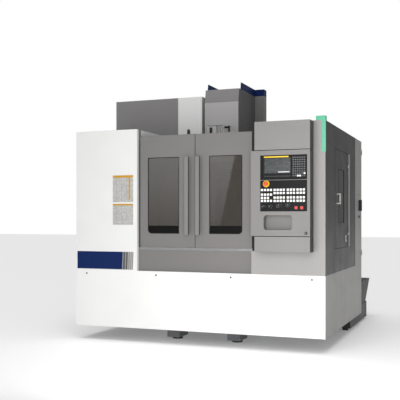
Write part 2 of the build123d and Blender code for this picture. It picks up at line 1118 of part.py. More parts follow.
# Change arm: a bar on a shaft, with a fork at each end that is open the way it turns
with BuildPart() as change_arm:
    with BuildSketch(level(arm_low)):
        with Locations((arm_x, y_at(spindle_depth))):
            Rectangle(2 * arm_half_width, 2 * (abs(arm_x) - fork_length))
            with Locations((0, arm_x), (0, -arm_x)):
                Circle(fork_outer)
            fork_middle = abs(arm_x) - (fork_length - fork_gap) / 2
            with Locations((0, fork_middle), (0, -fork_middle)):
                Rectangle(2 * arm_half_width, fork_length - fork_gap)
            with Locations((0, arm_x), (0, -arm_x)):
                Circle(fork_radius, mode=Mode.SUBTRACT)
            mouth_middle = abs(arm_x) - fork_relief / 2
            with Locations((fork_radius, -mouth_middle), (-fork_radius, mouth_middle)):
                Rectangle(2 * fork_radius, 2 * fork_radius + fork_relief, mode=Mode.SUBTRACT)
    extrude(amount=arm_thickness)
    upright_rod(
        arm_x,
        spindle_depth,
        (arm_low + arm_thickness, gearbox_high - fold - 1),
        arm_shaft_radius,
    )
write(change_arm, "change_arm")

# Front skirt: a folded sheet with four countersunk screws
with BuildPart() as front_skirt:
    block((-half_width, half_width), (0, sheet), (skirt_bottom, skirt_top))
    block(
        (-half_width + fold + sheet, half_width - fold - sheet),
        (sheet, door_back),
        (skirt_top - sheet, skirt_top),
    )
    block(
        (-half_width + fold + sheet, half_width - fold - sheet),
        (sheet, fold),
        (skirt_bottom, skirt_bottom + sheet),
    )
    screw_reach = half_width - skirt_screw_inset
    for x in (-screw_reach, -screw_reach / 3, screw_reach / 3, screw_reach):
        deep_rod(x, skirt_screw_z, (0, sheet), skirt_screw_radius, Mode.SUBTRACT)
        deep_rod(x, skirt_screw_z, (skirt_screw_sink, skirt_screw_length), skirt_screw_radius)
write(front_skirt, "front_skirt")

# Lower panels at the sides and the rear: folded pans, open to the inside
rear_inner = half_width - fold - wall_gap
with BuildPart() as lower_panels:
    for side in (-1, 1):
        inner = side * (half_width - fold)
        outer = side * half_width
        block(sorted((inner, outer)), (sheet, body_depth), (skirt_bottom, skirt_top))
        block(
            sorted((inner, outer - side * sheet)),
            (2 * sheet, body_depth - sheet),
            (skirt_bottom + sheet, skirt_top - sheet),
            Mode.SUBTRACT,
        )
    for x, low in (
        ((-rear_inner, tank_left - fold), skirt_bottom),
        ((tank_left, rear_inner), chute_top),
    ):
        block(x, (body_depth - fold, body_depth), (low, skirt_top))
        block(
            (x[0] + sheet, x[1] - sheet),
            (body_depth - fold, body_depth - sheet),
            (low + sheet, skirt_top - sheet),
            Mode.SUBTRACT,
        )
write(lower_panels, "lower_panels")

# Left front panel, folded back at the door opening and at the top
with BuildPart() as left_front_panel:
    block((-half_width, opening_left), (0, sheet), (skirt_top, body_top))
    block((opening_left - sheet, opening_left), (sheet, panel_depth), (skirt_top, body_top))
    block(
        (-half_width + fold + sheet, opening_left),
        (sheet, panel_depth),
        (body_top - sheet, body_top),
    )
write(left_front_panel, "left_front_panel")

# Right front panel, stepped beside the channel of the console hinge
with BuildPart() as right_front_panel:
    block((channel_right, half_width), (0, panel_depth), (skirt_top, body_top))
    block((opening_right, channel_right), (0, panel_depth), (skirt_top, channel_bottom))
    block(
        (channel_right + sheet, half_width),
        (sheet, panel_depth),
        (skirt_top, body_top - sheet),
        Mode.SUBTRACT,
    )
    block(
        (opening_right + sheet, half_width),
        (sheet, panel_depth),
        (skirt_top, channel_bottom - sheet),
        Mode.SUBTRACT,
    )
    block(
        (half_width - fold - sheet, half_width),
        (sheet, panel_depth),
        (skirt_top, body_top),
        Mode.SUBTRACT,
    )
    block(
        (half_width - lamp_strip, half_width),
        (0, sheet),
        (lamp_low, body_top),
        Mode.SUBTRACT,
    )
write(right_front_panel, "right_front_panel")

# Status lamp: a strip down the corner and a cap on top
with BuildPart() as corner_lamp:
    block((half_width - lamp_strip, half_width), (0, sheet), (lamp_low, body_top))
    block(
        (lamp_left, half_width),
        (0, lamp_cap_depth),
        (body_top, body_top + lamp_cap_height),
    )
    fillet(edges().filter_by(Axis.X).group_by(Axis.Z)[-1], radius=8)
write(corner_lamp, "corner_lamp")


def doorway(side, mode):
    """The opening of a side door, or with ADD the folded edge around it."""
    edge = sheet if mode == Mode.ADD else 0
    inner = side * (half_width - fold)
    block(
        sorted((inner, side * half_width)),
        (side_door_front - side_gap - edge, side_door_rear + side_gap + edge),
        (side_door_low - side_gap - edge, side_door_high + side_gap + edge),
        mode,
    )


# Outer walls: two side pans with doorways and a rear pan
side_hinge_depth = side_door_rear + side_gap
side_rail_front = side_hinge_depth + knuckle_radius + side_gap
side_hinge_heights = (side_door_low + hinge_inset, side_door_high - hinge_inset)
wall_rears = {-1: body_depth, 1: cabinet_front}
with BuildPart() as outer_walls:
    for side, wall_rear in wall_rears.items():
        inner = side * (half_width - fold)
        outer = side * half_width
        block(sorted((inner, outer)), (sheet, wall_rear), (skirt_top, body_top))
        block(
            sorted((inner, outer - side * sheet)),
            (2 * sheet, wall_rear - sheet),
            (skirt_top + sheet, body_top - sheet),
            Mode.SUBTRACT,
        )
        doorway(side, Mode.ADD)
        doorway(side, Mode.SUBTRACT)
        block(
            sorted((outer, outer + side * side_rail_stand)),
            (side_rail_front, side_rail_front + side_rail_width),
            (side_door_low, side_door_high),
        )
        for hinge_z in side_hinge_heights:
            hinge_leaf(outer, side_hinge_depth, hinge_z, side, 1, False)
    block(
        (-rear_inner, cabinet_left),
        (body_depth - fold, body_depth),
        (skirt_top, body_top),
    )
    block(
        (-rear_inner + sheet, cabinet_left - sheet),
        (body_depth - fold, body_depth - sheet),
        (skirt_top + sheet, body_top - sheet),
        Mode.SUBTRACT,
    )
write(outer_walls, "outer_walls")


def side_door(side):
    """A side door pan with a bar handle, in the doorway on one side."""
    outer = side * half_width
    inner = outer - side * side_door_thickness
    block(
        sorted((inner, outer)),
        (side_door_front, side_door_rear),
        (side_door_low, side_door_high),
    )
    block(
        sorted((inner, outer - side * sheet)),
        (side_door_front + sheet, side_door_rear - sheet),
        (side_door_low + sheet, side_door_high - sheet),
        Mode.SUBTRACT,
    )
    side_handle_low = side_handle_middle - side_handle_length / 2
    side_handle_high = side_handle_middle + side_handle_length / 2
    bar_depth = (side_handle_depth - side_handle_bar / 2, side_handle_depth + side_handle_bar / 2)
    stand = outer + side * side_handle_stand
    block(
        sorted((stand - side * side_handle_bar, stand)),
        bar_depth,
        (side_handle_low, side_handle_high),
    )
    for foot_z in (side_handle_low, side_handle_high - side_handle_bar):
        block(sorted((outer, stand)), bar_depth, (foot_z, foot_z + side_handle_bar))
    for hinge_z in side_hinge_heights:
        hinge_leaf(outer, side_hinge_depth, hinge_z, side, -1, True)


# Side doors, the right one with a window
with BuildPart() as left_side_door:
    side_door(-1)
write(left_side_door, "left_side_door")

with BuildPart() as right_side_door:
    side_door(1)
    block(
        (half_width - sheet, half_width),
        (side_window_front, side_window_rear),
        (side_window_low, side_window_high),
        Mode.SUBTRACT,
    )
write(right_side_door, "right_side_door")

with BuildPart() as right_side_window:
    block(
        (half_width - sheet - glass, half_width - sheet),
        (side_window_front - window_lap, side_window_rear + window_lap),
        (side_window_low - window_lap, side_window_high + window_lap),
    )
write(right_side_window, "right_side_window")

# Electrical cabinet with a rear door
cabinet_rear = body_depth - cabinet_door_thickness - cabinet_gap
cabinet_hinge_depth = cabinet_rear + cabinet_gap / 2
cabinet_hinge_heights = (skirt_top + hinge_inset, body_top - hinge_inset)
with BuildPart() as electrical_cabinet:
    block((cabinet_left, half_width), (cabinet_front, cabinet_rear), (skirt_top, body_top))
    block(
        (cabinet_left + sheet, half_width - sheet),
        (cabinet_front + sheet, cabinet_rear),
        (skirt_top + sheet, body_top - sheet),
        Mode.SUBTRACT,
    )
    block(
        (half_width, half_width + sheet),
        (switch_depth - switch_plate / 2, switch_depth + switch_plate / 2),
        (switch_height - switch_length / 2 - 12, switch_height + switch_length / 2 + 12),
    )
    cross_rod(
        switch_depth,
        switch_height,
        (half_width - sheet, half_width + sheet),
        stem_radius + stem_gap,
        Mode.SUBTRACT,
    )
    for hinge_z in cabinet_hinge_heights:
        hinge_leaf(half_width, cabinet_hinge_depth, hinge_z, 1, -1, False)
write(electrical_cabinet, "electrical_cabinet")

with BuildPart() as cabinet_door:
    door_front_face = body_depth - cabinet_door_thickness
    block(
        (cabinet_left + cabinet_gap, half_width),
        (door_front_face, body_depth),
        (skirt_top + cabinet_gap, body_top),
    )
    block(
        (cabinet_left + cabinet_gap + sheet, half_width - sheet),
        (door_front_face, body_depth - sheet),
        (skirt_top + cabinet_gap + sheet, body_top - sheet),
        Mode.SUBTRACT,
    )
    block(
        (cabinet_left + 2 * fold, cabinet_left + 3 * fold),
        (body_depth, body_depth + fold),
        (switch_height - fold, switch_height + 3 * fold),
    )
    for hinge_z in cabinet_hinge_heights:
        hinge_leaf(half_width, cabinet_hinge_depth, hinge_z, 1, 1, True)
write(cabinet_door, "cabinet_door")

with BuildPart() as isolator_handle:
    block(
        (half_width + sheet + stem_gap, half_width + switch_stand),
        (switch_depth - switch_width / 2, switch_depth + switch_width / 2),
        (switch_height - switch_length / 2, switch_height + switch_length / 2),
    )
    fillet(edges().filter_by(Axis.X), radius=8)
    cross_rod(
        switch_depth,
        switch_height,
        (half_width - stem_length, half_width + switch_stand),
        stem_radius,
    )
write(isolator_handle, "isolator_handle")

# Fascia below the doors and the steel track on top of it
with BuildPart() as fascia:
    block((-track_reach, track_reach), (panel_depth, door_back), (skirt_top, track_low))
    block(
        (-track_reach, track_reach),
        (panel_depth + sheet, door_back),
        (skirt_top + sheet, track_low - sheet),
        Mode.SUBTRACT,
    )
write(fascia, "fascia")

with BuildPart() as sill_track:
    block((-track_reach, track_reach), (panel_depth, track_back), (track_low, door_bottom))
write(sill_track, "sill_track")

# Door frame: two posts and a top guide behind the doors, and the channel of the console hinge
post_inner = opening_right - side_gap
guide_front = door_back + door_gap
with BuildPart() as door_frame:
    for side in (-1, 1):
        block(
            sorted((side * post_inner, side * (post_inner + 2 * guide_size))),
            (guide_front, guide_front + guide_size),
            (door_bottom, door_top - guide_drop),
        )
    block(
        (-track_reach, track_reach),
        (guide_front, guide_front + guide_size),
        (door_top - guide_drop, door_top - guide_drop + guide_size),
    )
    block(
        (opening_right, channel_right),
        (panel_depth - 2 * sheet, panel_depth),
        (channel_bottom, body_top),
    )
    lug_x = (console_hinge_x - 2 * hinge_pin_radius, console_hinge_x + 2 * hinge_pin_radius)
    lug_depth = (console_hinge_depth - 2 * hinge_pin_radius, panel_depth - 2 * sheet)
    lug_low = (console_low - box_gap - hinge_pin_length, console_low - stem_gap)
    lug_high = (console_high + stem_gap, console_high + box_gap + hinge_pin_length)
    block(lug_x, lug_depth, lug_low)
    block(lug_x, lug_depth, lug_high)
    upright_rod(
        console_hinge_x,
        console_hinge_depth,
        (lug_low[1], console_low + hinge_pin_length),
        hinge_pin_radius,
    )
    upright_rod(
        console_hinge_x,
        console_hinge_depth,
        (console_high - hinge_pin_length, lug_high[0]),
        hinge_pin_radius,
    )
write(door_frame, "door_frame")


def rounded_window(x, z, depth, mode, outer_side, grow=0):
    """A window shape whose lower outer corner is rounded, cut or laid on the doors."""
    with BuildSketch(facing(depth[1])) as outline:
        with Locations(((x[0] + x[1]) / 2, (z[0] + z[1]) / 2)):
            Rectangle(x[1] - x[0] + 2 * grow, z[1] - z[0] + 2 * grow)
        lower = vertices().group_by(Axis.Y)[0].sort_by(Axis.X)
        fillet(lower[0] if outer_side < 0 else lower[-1], radius=window_corner)
    extrude(outline.sketch, amount=depth[1] - depth[0], mode=mode)


def sliding_door(x, window, outer_side):
    """A door pan with a window opening and a flange that stays behind the front panel."""
    block(x, (door_depth, door_back), (door_bottom + door_clearance, door_top))
    block(
        (x[0] + sheet, x[1] - sheet),
        (door_depth + sheet, door_back),
        (door_bottom + door_clearance + sheet, door_top - sheet),
        Mode.SUBTRACT,
    )
    edge = x[0] if outer_side < 0 else x[1]
    block(
        sorted((edge - outer_side * sheet, edge + outer_side * door_flange)),
        (door_back - sheet, door_back),
        (door_bottom + door_clearance, door_top - guide_size),
    )
    rounded_window(
        window,
        (window_low, window_high),
        (door_depth, door_depth + sheet),
        Mode.SUBTRACT,
        outer_side,
    )


# Sliding doors with their windows and handles
left_door_x = (door_left, door_parting - door_gap / 2)
right_door_x = (door_parting + door_gap / 2, door_right)
window_left = (opening_left + left_window_outer, door_parting - left_window_inner)
window_right = (door_parting + right_window_inner, opening_right - right_window_outer)
with BuildPart() as left_door:
    sliding_door(left_door_x, window_left, -1)
write(left_door, "left_door")

with BuildPart() as right_door:
    sliding_door(right_door_x, window_right, 1)
write(right_door, "right_door")


def door_window(window, outer_side):
    """A pane that laps the back of its opening."""
    rounded_window(
        window,
        (window_low, window_high),
        (door_depth + sheet, door_depth + sheet + glass),
        Mode.ADD,
        outer_side,
        window_lap,
    )


with BuildPart() as left_window:
    door_window(window_left, -1)
write(left_window, "left_window")

with BuildPart() as right_window:
    door_window(window_right, 1)
write(right_window, "right_window")


def door_handle(left_edge):
    """An upright grip: a face with folded lips, on a web that stands on the door."""
    right_edge = left_edge + handle_width
    middle = (left_edge + right_edge) / 2
    face = door_depth - handle_stand
    height = (handle_low, handle_high)
    block((left_edge, right_edge), (face, face + handle_sheet), height)
    block((left_edge, left_edge + handle_sheet), (face, face + handle_lip), height)
    block((right_edge - handle_sheet, right_edge), (face, face + handle_lip), height)
    block((middle - handle_web / 2, middle + handle_web / 2), (face, door_depth), height)


with BuildPart() as left_handle:
    door_handle(handle_left)
write(left_handle, "left_handle")

with BuildPart() as right_handle:
    door_handle(handle_right)
write(right_handle, "right_handle")

# Fixed boxes above and below the console
with BuildPart() as console_boxes:
    for low, high in (
        (channel_bottom, console_low - box_gap),
        (console_high + box_gap, box_high),
    ):
        block((channel_right, console_right), (face_depth, 0), (low, high))
        block(
            (channel_right + sheet, console_right - sheet),
            (face_depth + sheet, 0),
            (low + sheet, high - sheet),
            Mode.SUBTRACT,
        )
write(console_boxes, "console_boxes")

# Console body: a sheet box with openings for the two units and a hand tray
with BuildPart() as console_body:
    block((console_left, console_right), (face_depth, console_back), (console_low, console_high))
    block(
        (console_left + console_sheet, console_right - console_sheet),
        (face_depth + console_sheet, console_back),
        (console_low + console_sheet, console_high - console_sheet),
        Mode.SUBTRACT,
    )
    for low, high in ((display_low, display_high), (panel_low, panel_high)):
        block(
            (unit_left, unit_right),
            (face_depth, face_depth + console_sheet),
            (low, high),
            Mode.SUBTRACT,
        )
    block(
        (tray_left - console_sheet, tray_right + console_sheet),
        (face_depth, face_depth + tray_sink + console_sheet),
        (tray_low - console_sheet, tray_high + console_sheet),
    )
    with BuildSketch(facing(face_depth + tray_sink)):
        with Locations(((tray_left + tray_right) / 2, (tray_low + tray_high) / 2)):
            RectangleRounded(tray_right - tray_left, tray_high - tray_low, tray_corner)
    extrude(amount=tray_sink, mode=Mode.SUBTRACT)
    deep_rod(lock_x, lock_height, (face_depth - console_sheet, face_depth), lock_radius)
    hinge_bore = hinge_pin_radius + stem_gap
    for low, high in (
        (console_low, console_low + console_sheet),
        (console_high - console_sheet, console_high),
    ):
        upright_rod(
            console_hinge_x,
            console_hinge_depth,
            (low, high),
            hinge_bore,
            Mode.SUBTRACT,
        )
write(console_body, "console_body")


def raised_keys(centres, size, stand):
    """Square keys of one size that stand on the face of a unit."""
    with BuildSketch(facing(unit_front)) as caps:
        with Locations(*centres):
            Rectangle(size, size)
    extrude(caps.sketch, amount=stand)


# Display unit: a screen in a shallow recess beside a keypad
unit_depth = (unit_front, face_depth + unit_back)
keypad_left = screen_right + fold
keypad_high = display_high - keypad_drop
keypad = [
    (keypad_left + column_number * keypad_pitch, keypad_high - row * keypad_pitch)
    for row in range(keypad_rows)
    for column_number in range(keypad_columns)
]
with BuildPart() as display_unit:
    block((unit_left, unit_right), unit_depth, (display_low, display_high))
    block(
        (screen_left, screen_right),
        (unit_front, unit_front + screen_sink),
        (screen_low, screen_high),
        Mode.SUBTRACT,
    )
    raised_keys(keypad, keypad_size, sheet)
write(display_unit, "display_unit")

# Operator panel: keys on its face and holes for the moving controls
panel_keys = []
for height, columns in zip(left_key_rows, left_key_counts):
    for step in range(columns):
        panel_keys.append((unit_left + key_inset + step * key_pitch, panel_low + height))
for inset, columns in zip(right_key_insets, right_key_counts):
    for height in right_key_rows:
        for step in range(columns):
            panel_keys.append((unit_left + inset + step * key_pitch, panel_low + height))
with BuildPart() as operator_panel:
    block((unit_left, unit_right), unit_depth, (panel_low, panel_high))
    raised_keys(panel_keys, key_size, key_stand)
    deep_rod(
        stop_x,
        stop_z,
        (unit_front - stop_ring_height, unit_front),
        stop_ring_radius,
    )
    control_places = [(stop_x, stop_z), (cycle_start_x, button_z), (feed_hold_x, button_z)]
    control_places += [(x, knob_z) for x in knob_x]
    control_places += list(zip(dial_x, dial_z))
    for x, z in control_places:
        deep_rod(
            x,
            z,
            (unit_front - stop_ring_height, unit_depth[1]),
            stem_radius + stem_gap,
            Mode.SUBTRACT,
        )
write(operator_panel, "operator_panel")

# Emergency stop: a mushroom head that presses in
stop_face = face_depth - stop_height
with BuildPart() as e_stop:
    stop_back = unit_front - stop_ring_height - stop_travel - stem_gap
    deep_rod(stop_x, stop_z, (stop_face, stop_back), stop_radius)
    fillet(edges().filter_by(GeomType.CIRCLE).group_by(Axis.Y)[0], radius=7)
    deep_rod(stop_x, stop_z, (stop_back, unit_front + stem_length), stem_radius)
write(e_stop, "e_stop")


def push_button(x):
    """A square push button that presses in by its travel."""
    back = unit_front - button_travel - stem_gap
    block(
        (x - button_size / 2, x + button_size / 2),
        (back - button_height, back),
        (button_z - button_size / 2, button_z + button_size / 2),
    )
    fillet(edges().filter_by(Axis.Y), radius=2.5)
    deep_rod(x, button_z, (back, unit_front + stem_length), stem_radius)


with BuildPart() as cycle_start_button:
    push_button(cycle_start_x)
write(cycle_start_button, "cycle_start_button")

with BuildPart() as feed_hold_button:
    push_button(feed_hold_x)
write(feed_hold_button, "feed_hold_button")


def turning_knob(x, z, radius, height):
    """A round knob with a grip bar, turning on a stem in the panel."""
    back = unit_front - stem_gap
    deep_rod(x, z, (back - height / 2, back), radius)
    block(
        (x - radius / 4, x + radius / 4),
        (back - height, back - height / 2),
        (z - radius * 0.9, z + radius * 0.9),
    )
    deep_rod(x, z, (back, unit_front + stem_length), stem_radius)


for number, x in enumerate(knob_x, start=1):
    with BuildPart() as selector_knob:
        turning_knob(x, knob_z, knob_radius, knob_height)
    write(selector_knob, f"selector_knob_{number}")

for number, (x, z) in enumerate(zip(dial_x, dial_z), start=1):
    with BuildPart() as override_dial:
        turning_knob(x, z, dial_radius, dial_height)
    write(override_dial, f"override_dial_{number}")


def hood_outline(inset):
    """The side view of the narrow part of the hood, smaller by an inset."""
    low = column_top if inset == 0 else column_top - 1
    return (
        (y_at(hood_front + inset), low),
        (y_at(hood_front + inset), hood_bevel),
        (y_at(hood_front + hood_bevel_depth + inset), hood_top - inset),
        (y_at(hood_step + inset), hood_top - inset),
        (y_at(hood_step + inset), low),
    )


# Hood over the spindle motor: a narrow front part and a wider part over the column
with BuildPart() as hood:
    with BuildSketch(side_on(-hood_half)):
        with BuildLine():
            Polyline(*hood_outline(0), close=True)
        make_face()
    extrude(amount=2 * hood_half)
    block((-hood_wide_half, hood_wide_half), (hood_step, hood_rear), (column_top, hood_top))
    with BuildSketch(side_on(-hood_half + sheet)):
        with BuildLine():
            Polyline(*hood_outline(sheet), close=True)
        make_face()
    extrude(amount=2 * (hood_half - sheet), mode=Mode.SUBTRACT)
    block(
        (-hood_wide_half + sheet, hood_wide_half - sheet),
        (hood_step + sheet, hood_rear - sheet),
        (column_top - 1, hood_top - sheet),
        Mode.SUBTRACT,
    )
write(hood, "hood")

# Trim fins along both top edges of the hood
with BuildPart() as hood_trim:
    for side in (-1, 1):
        fin_x = min(side * hood_half, side * (hood_half - trim_thickness))
        with BuildSketch(side_on(fin_x)):
            with BuildLine():
                Polyline(
                    (y_at(trim_front), hood_top),
                    (y_at(trim_front + trim_slant), trim_top),
                    (y_at(hood_step + trim_thickness), trim_top),
                    (y_at(hood_step + trim_thickness), hood_top),
                    close=True,
                )
            make_face()
        extrude(amount=trim_thickness)
        block(
            sorted((side * (hood_half - trim_thickness), side * hood_wide_half)),
            (hood_step, hood_step + trim_thickness),
            (hood_top, trim_top),
        )
        block(
            sorted((side * (hood_wide_half - trim_thickness), side * hood_wide_half)),
            (hood_step, hood_rear),
            (hood_top, trim_top),
        )
write(hood_trim, "hood_trim")


def cover_box(x, open_left, open_right):
    """A box of sheet on the enclosure, open below and on the sides named."""
    block(x, (cover_front, cover_rear), (body_top, cover_roof))
    block(
        (x[0] if open_left else x[0] + sheet, x[1] if open_right else x[1] - sheet),
        (cover_front + sheet, cover_rear - sheet),
        (body_top, cover_roof - sheet),
        Mode.SUBTRACT,
    )


# Covers of the tool magazine above the enclosure
with BuildPart() as magazine_cover:
    cover_box((-half_width, cover_split), False, True)
write(magazine_cover, "magazine_cover")

with BuildPart() as magazine_panel:
    cover_box((cover_split, cover_right), True, False)
write(magazine_panel, "magazine_panel")

# Splash liner: sloping chip trays, shelves with upright edges, and the fixed way cover
tray_slope = (tray_outer_z - tray_inner_z) / (half_width - sheet - tray_inner)
with BuildPart() as splash_liner:
    way_cover(door_back, cover_front_start + cover_length, cover_top, cover_half)
    for side in (-1, 1):
        wall_x = half_width - sheet
        with BuildSketch(facing(y_rail_rear)):
            with BuildLine():
                Polyline(
                    (side * tray_inner, tray_inner_z),
                    (side * wall_x, tray_outer_z),
                    (side * wall_x, tray_outer_z + cover_sheet),
                    (side * tray_inner, tray_inner_z + cover_sheet),
                    close=True,
                )
            make_face()
        extrude(amount=y_rail_rear - track_back)
        block(
            sorted((side * liner_x, side * (liner_x + sheet))),
            (track_back, liner_rear),
            (shelf_z, body_top),
        )
        block(
            sorted((side * liner_x, side * wall_x)),
            (track_back, liner_rear),
            (shelf_z, shelf_z + sheet),
        )
write(splash_liner, "splash_liner")

# Coolant tank on wheels, with an open top under the chute
with BuildPart() as coolant_tank:
    block((tank_left, tank_right), (tank_front, tank_rear), (tank_low, tank_top))
    block(
        (tank_left + tank_sheet, tank_right - tank_sheet),
        (tank_front + tank_sheet, tank_rear - tank_sheet),
        (tank_low + tank_sheet, tank_top - tank_sheet),
        Mode.SUBTRACT,
    )
    block(
        (chute_left + fold, chute_right - fold),
        (body_depth + fold, chute_foot - fold),
        (tank_top - tank_sheet, tank_top),
        Mode.SUBTRACT,
    )
    for x in (tank_left + 2 * tank_wheel, tank_right - 2 * tank_wheel):
        for depth in (tank_front + 2 * tank_wheel, tank_rear - 2 * tank_wheel):
            upright_rod(x, depth, (0, tank_low), tank_wheel)
write(coolant_tank, "coolant_tank")

# Chip chute: a sheet hood on the tank with a sloping mouth at the rear
chute_front = body_depth - fold
chute_slope = (chute_rear - chute_foot) / (chute_top - tank_top)
mouth_shift = tank_sheet * chute_slope
with BuildPart() as chip_chute:
    with BuildSketch(side_on(chute_left)):
        with BuildLine():
            Polyline(
                (y_at(chute_front), tank_top),
                (y_at(chute_front), chute_top),
                (y_at(chute_rear), chute_top),
                (y_at(chute_foot), tank_top),
                close=True,
            )
        make_face()
    extrude(amount=chute_right - chute_left)
    with BuildSketch(side_on(chute_left + tank_sheet)):
        with BuildLine():
            Polyline(
                (y_at(chute_front), tank_top),
                (y_at(chute_front), chute_top - tank_sheet),
                (y_at(chute_rear - mouth_shift - 3 * tank_sheet), chute_top - tank_sheet),
                (y_at(chute_foot - 3 * tank_sheet), tank_top),
                close=True,
            )
        make_face()
    extrude(amount=chute_right - chute_left - 2 * tank_sheet, mode=Mode.SUBTRACT)
write(chip_chute, "chip_chute")
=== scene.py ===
"""The looks of a vertical machining centre: its enclosure, doors, console and works."""

import json
import logging
import math
from collections.abc import Callable, Iterable, Sequence
from dataclasses import dataclass
from enum import Enum

import bmesh
import bpy
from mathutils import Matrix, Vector


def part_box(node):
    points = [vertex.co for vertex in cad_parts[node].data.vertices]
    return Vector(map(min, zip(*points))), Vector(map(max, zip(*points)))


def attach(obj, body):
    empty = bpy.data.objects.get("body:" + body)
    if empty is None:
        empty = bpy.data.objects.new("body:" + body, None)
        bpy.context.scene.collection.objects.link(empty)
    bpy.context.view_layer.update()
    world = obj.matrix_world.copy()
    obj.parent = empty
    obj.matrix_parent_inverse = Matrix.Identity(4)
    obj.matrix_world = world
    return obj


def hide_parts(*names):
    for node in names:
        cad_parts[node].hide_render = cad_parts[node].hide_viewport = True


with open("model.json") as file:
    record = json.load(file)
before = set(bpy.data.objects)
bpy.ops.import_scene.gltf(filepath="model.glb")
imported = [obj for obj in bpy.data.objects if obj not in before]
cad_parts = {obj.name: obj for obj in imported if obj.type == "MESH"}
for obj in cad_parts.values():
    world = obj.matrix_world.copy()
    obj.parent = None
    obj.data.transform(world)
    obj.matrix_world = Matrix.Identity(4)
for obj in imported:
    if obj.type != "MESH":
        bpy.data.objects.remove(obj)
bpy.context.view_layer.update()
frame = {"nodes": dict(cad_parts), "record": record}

LOG = logging.getLogger("machining_centre")
MM = 0.001
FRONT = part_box("front_skirt")[0].y / MM
BODY_OF = {
    node: body for body, nodes in frame["record"]["behaviour"]["bodies"].items() for node in nodes
}
SLOT_OF = {entry["node"]: entry["material_slot"] for entry in frame["record"]["subparts"]}

Span = tuple[float, float]
Outline = list[tuple[float, float]]
Colour = tuple[float, float, float, float]
Place = tuple[float, float, float]
Node = bpy.types.Node
Tree = bpy.types.NodeTree
Socket = bpy.types.NodeSocket
Piece = bpy.types.Object


class Axis(Enum):
    """The three directions of the machine."""

    ACROSS = 0
    BACK = 1
    UP = 2


def at(x: float, depth: float, z: float) -> Vector:
    """Give the point in metres of an X, a depth behind the front plane and a height, in millimetres."""
    return Vector((x, depth + FRONT, z)) * MM


def span_of(node: str, axis: Axis) -> Span:
    """Measure a CAD node along one axis.

    Args:
        node: The node's name.
        axis: The direction to measure; BACK gives depths behind the front plane.

    Returns:
        The lowest and highest value in millimetres.
    """
    low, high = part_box(node)
    shift = FRONT if axis is Axis.BACK else 0.0
    return low[axis.value] / MM - shift, high[axis.value] / MM - shift


def spans(node: str) -> tuple[Span, Span, Span]:
    """Measure a CAD node across, in depth and in height, in millimetres."""
    return span_of(node, Axis.ACROSS), span_of(node, Axis.BACK), span_of(node, Axis.UP)


def grown(span: Span, by: float) -> Span:
    """Widen a span by the same length at both ends."""
    return span[0] - by, span[1] + by


def around(value: float, half: float) -> Span:
    """Give the span that reaches the same length to both sides of a value."""
    return value - half, value + half


def middle(span: Span) -> float:
    """Give the middle of a span."""
    return (span[0] + span[1]) / 2


def middle_of(node: str) -> tuple[float, float]:
    """Give the middle of a CAD node across and in height, in millimetres."""
    return middle(span_of(node, Axis.ACROSS)), middle(span_of(node, Axis.UP))


def linear(colour: str) -> Colour:
    """Turn an sRGB hex colour into linear RGBA.

    Args:
        colour: The colour as "#RRGGBB".

    Returns:
        The four linear channels, with full alpha.
    """
    channels = []
    for start in (1, 3, 5):
        value = int(colour[start:start + 2], 16) / 255
        channels.append(value / 12.92 if value <= 0.04045 else ((value + 0.055) / 1.055) ** 2.4)
    return channels[0], channels[1], channels[2], 1.0


def add_node(
    tree: Tree,
    kind: str,
    options: dict[str, object] | None = None,
    values: dict[str | int, object] | None = None,
    links: dict[str | int, Socket] | None = None,
) -> Node:
    """Add a node with its settings and links.

    Args:
        tree: The node tree that gets the node.
        kind: The node's type.
        options: Properties of the node itself.
        values: Fixed values of its inputs, by name or number.
        links: Sockets that feed its inputs, by name or number.

    Returns:
        The new node.
    """
    node = tree.nodes.new(kind)
    for name, option in (options or {}).items():
        setattr(node, name, option)
    for name, value in (values or {}).items():
        node.inputs[name].default_value = value
    for name, source in (links or {}).items():
        tree.links.new(source, node.inputs[name])
    return node


def placed(name: str, data: bpy.types.ID) -> Piece:
    """Put data into the scene as an object of that name."""
    made = bpy.data.objects.new(name, data)
    bpy.context.scene.collection.objects.link(made)
    return made


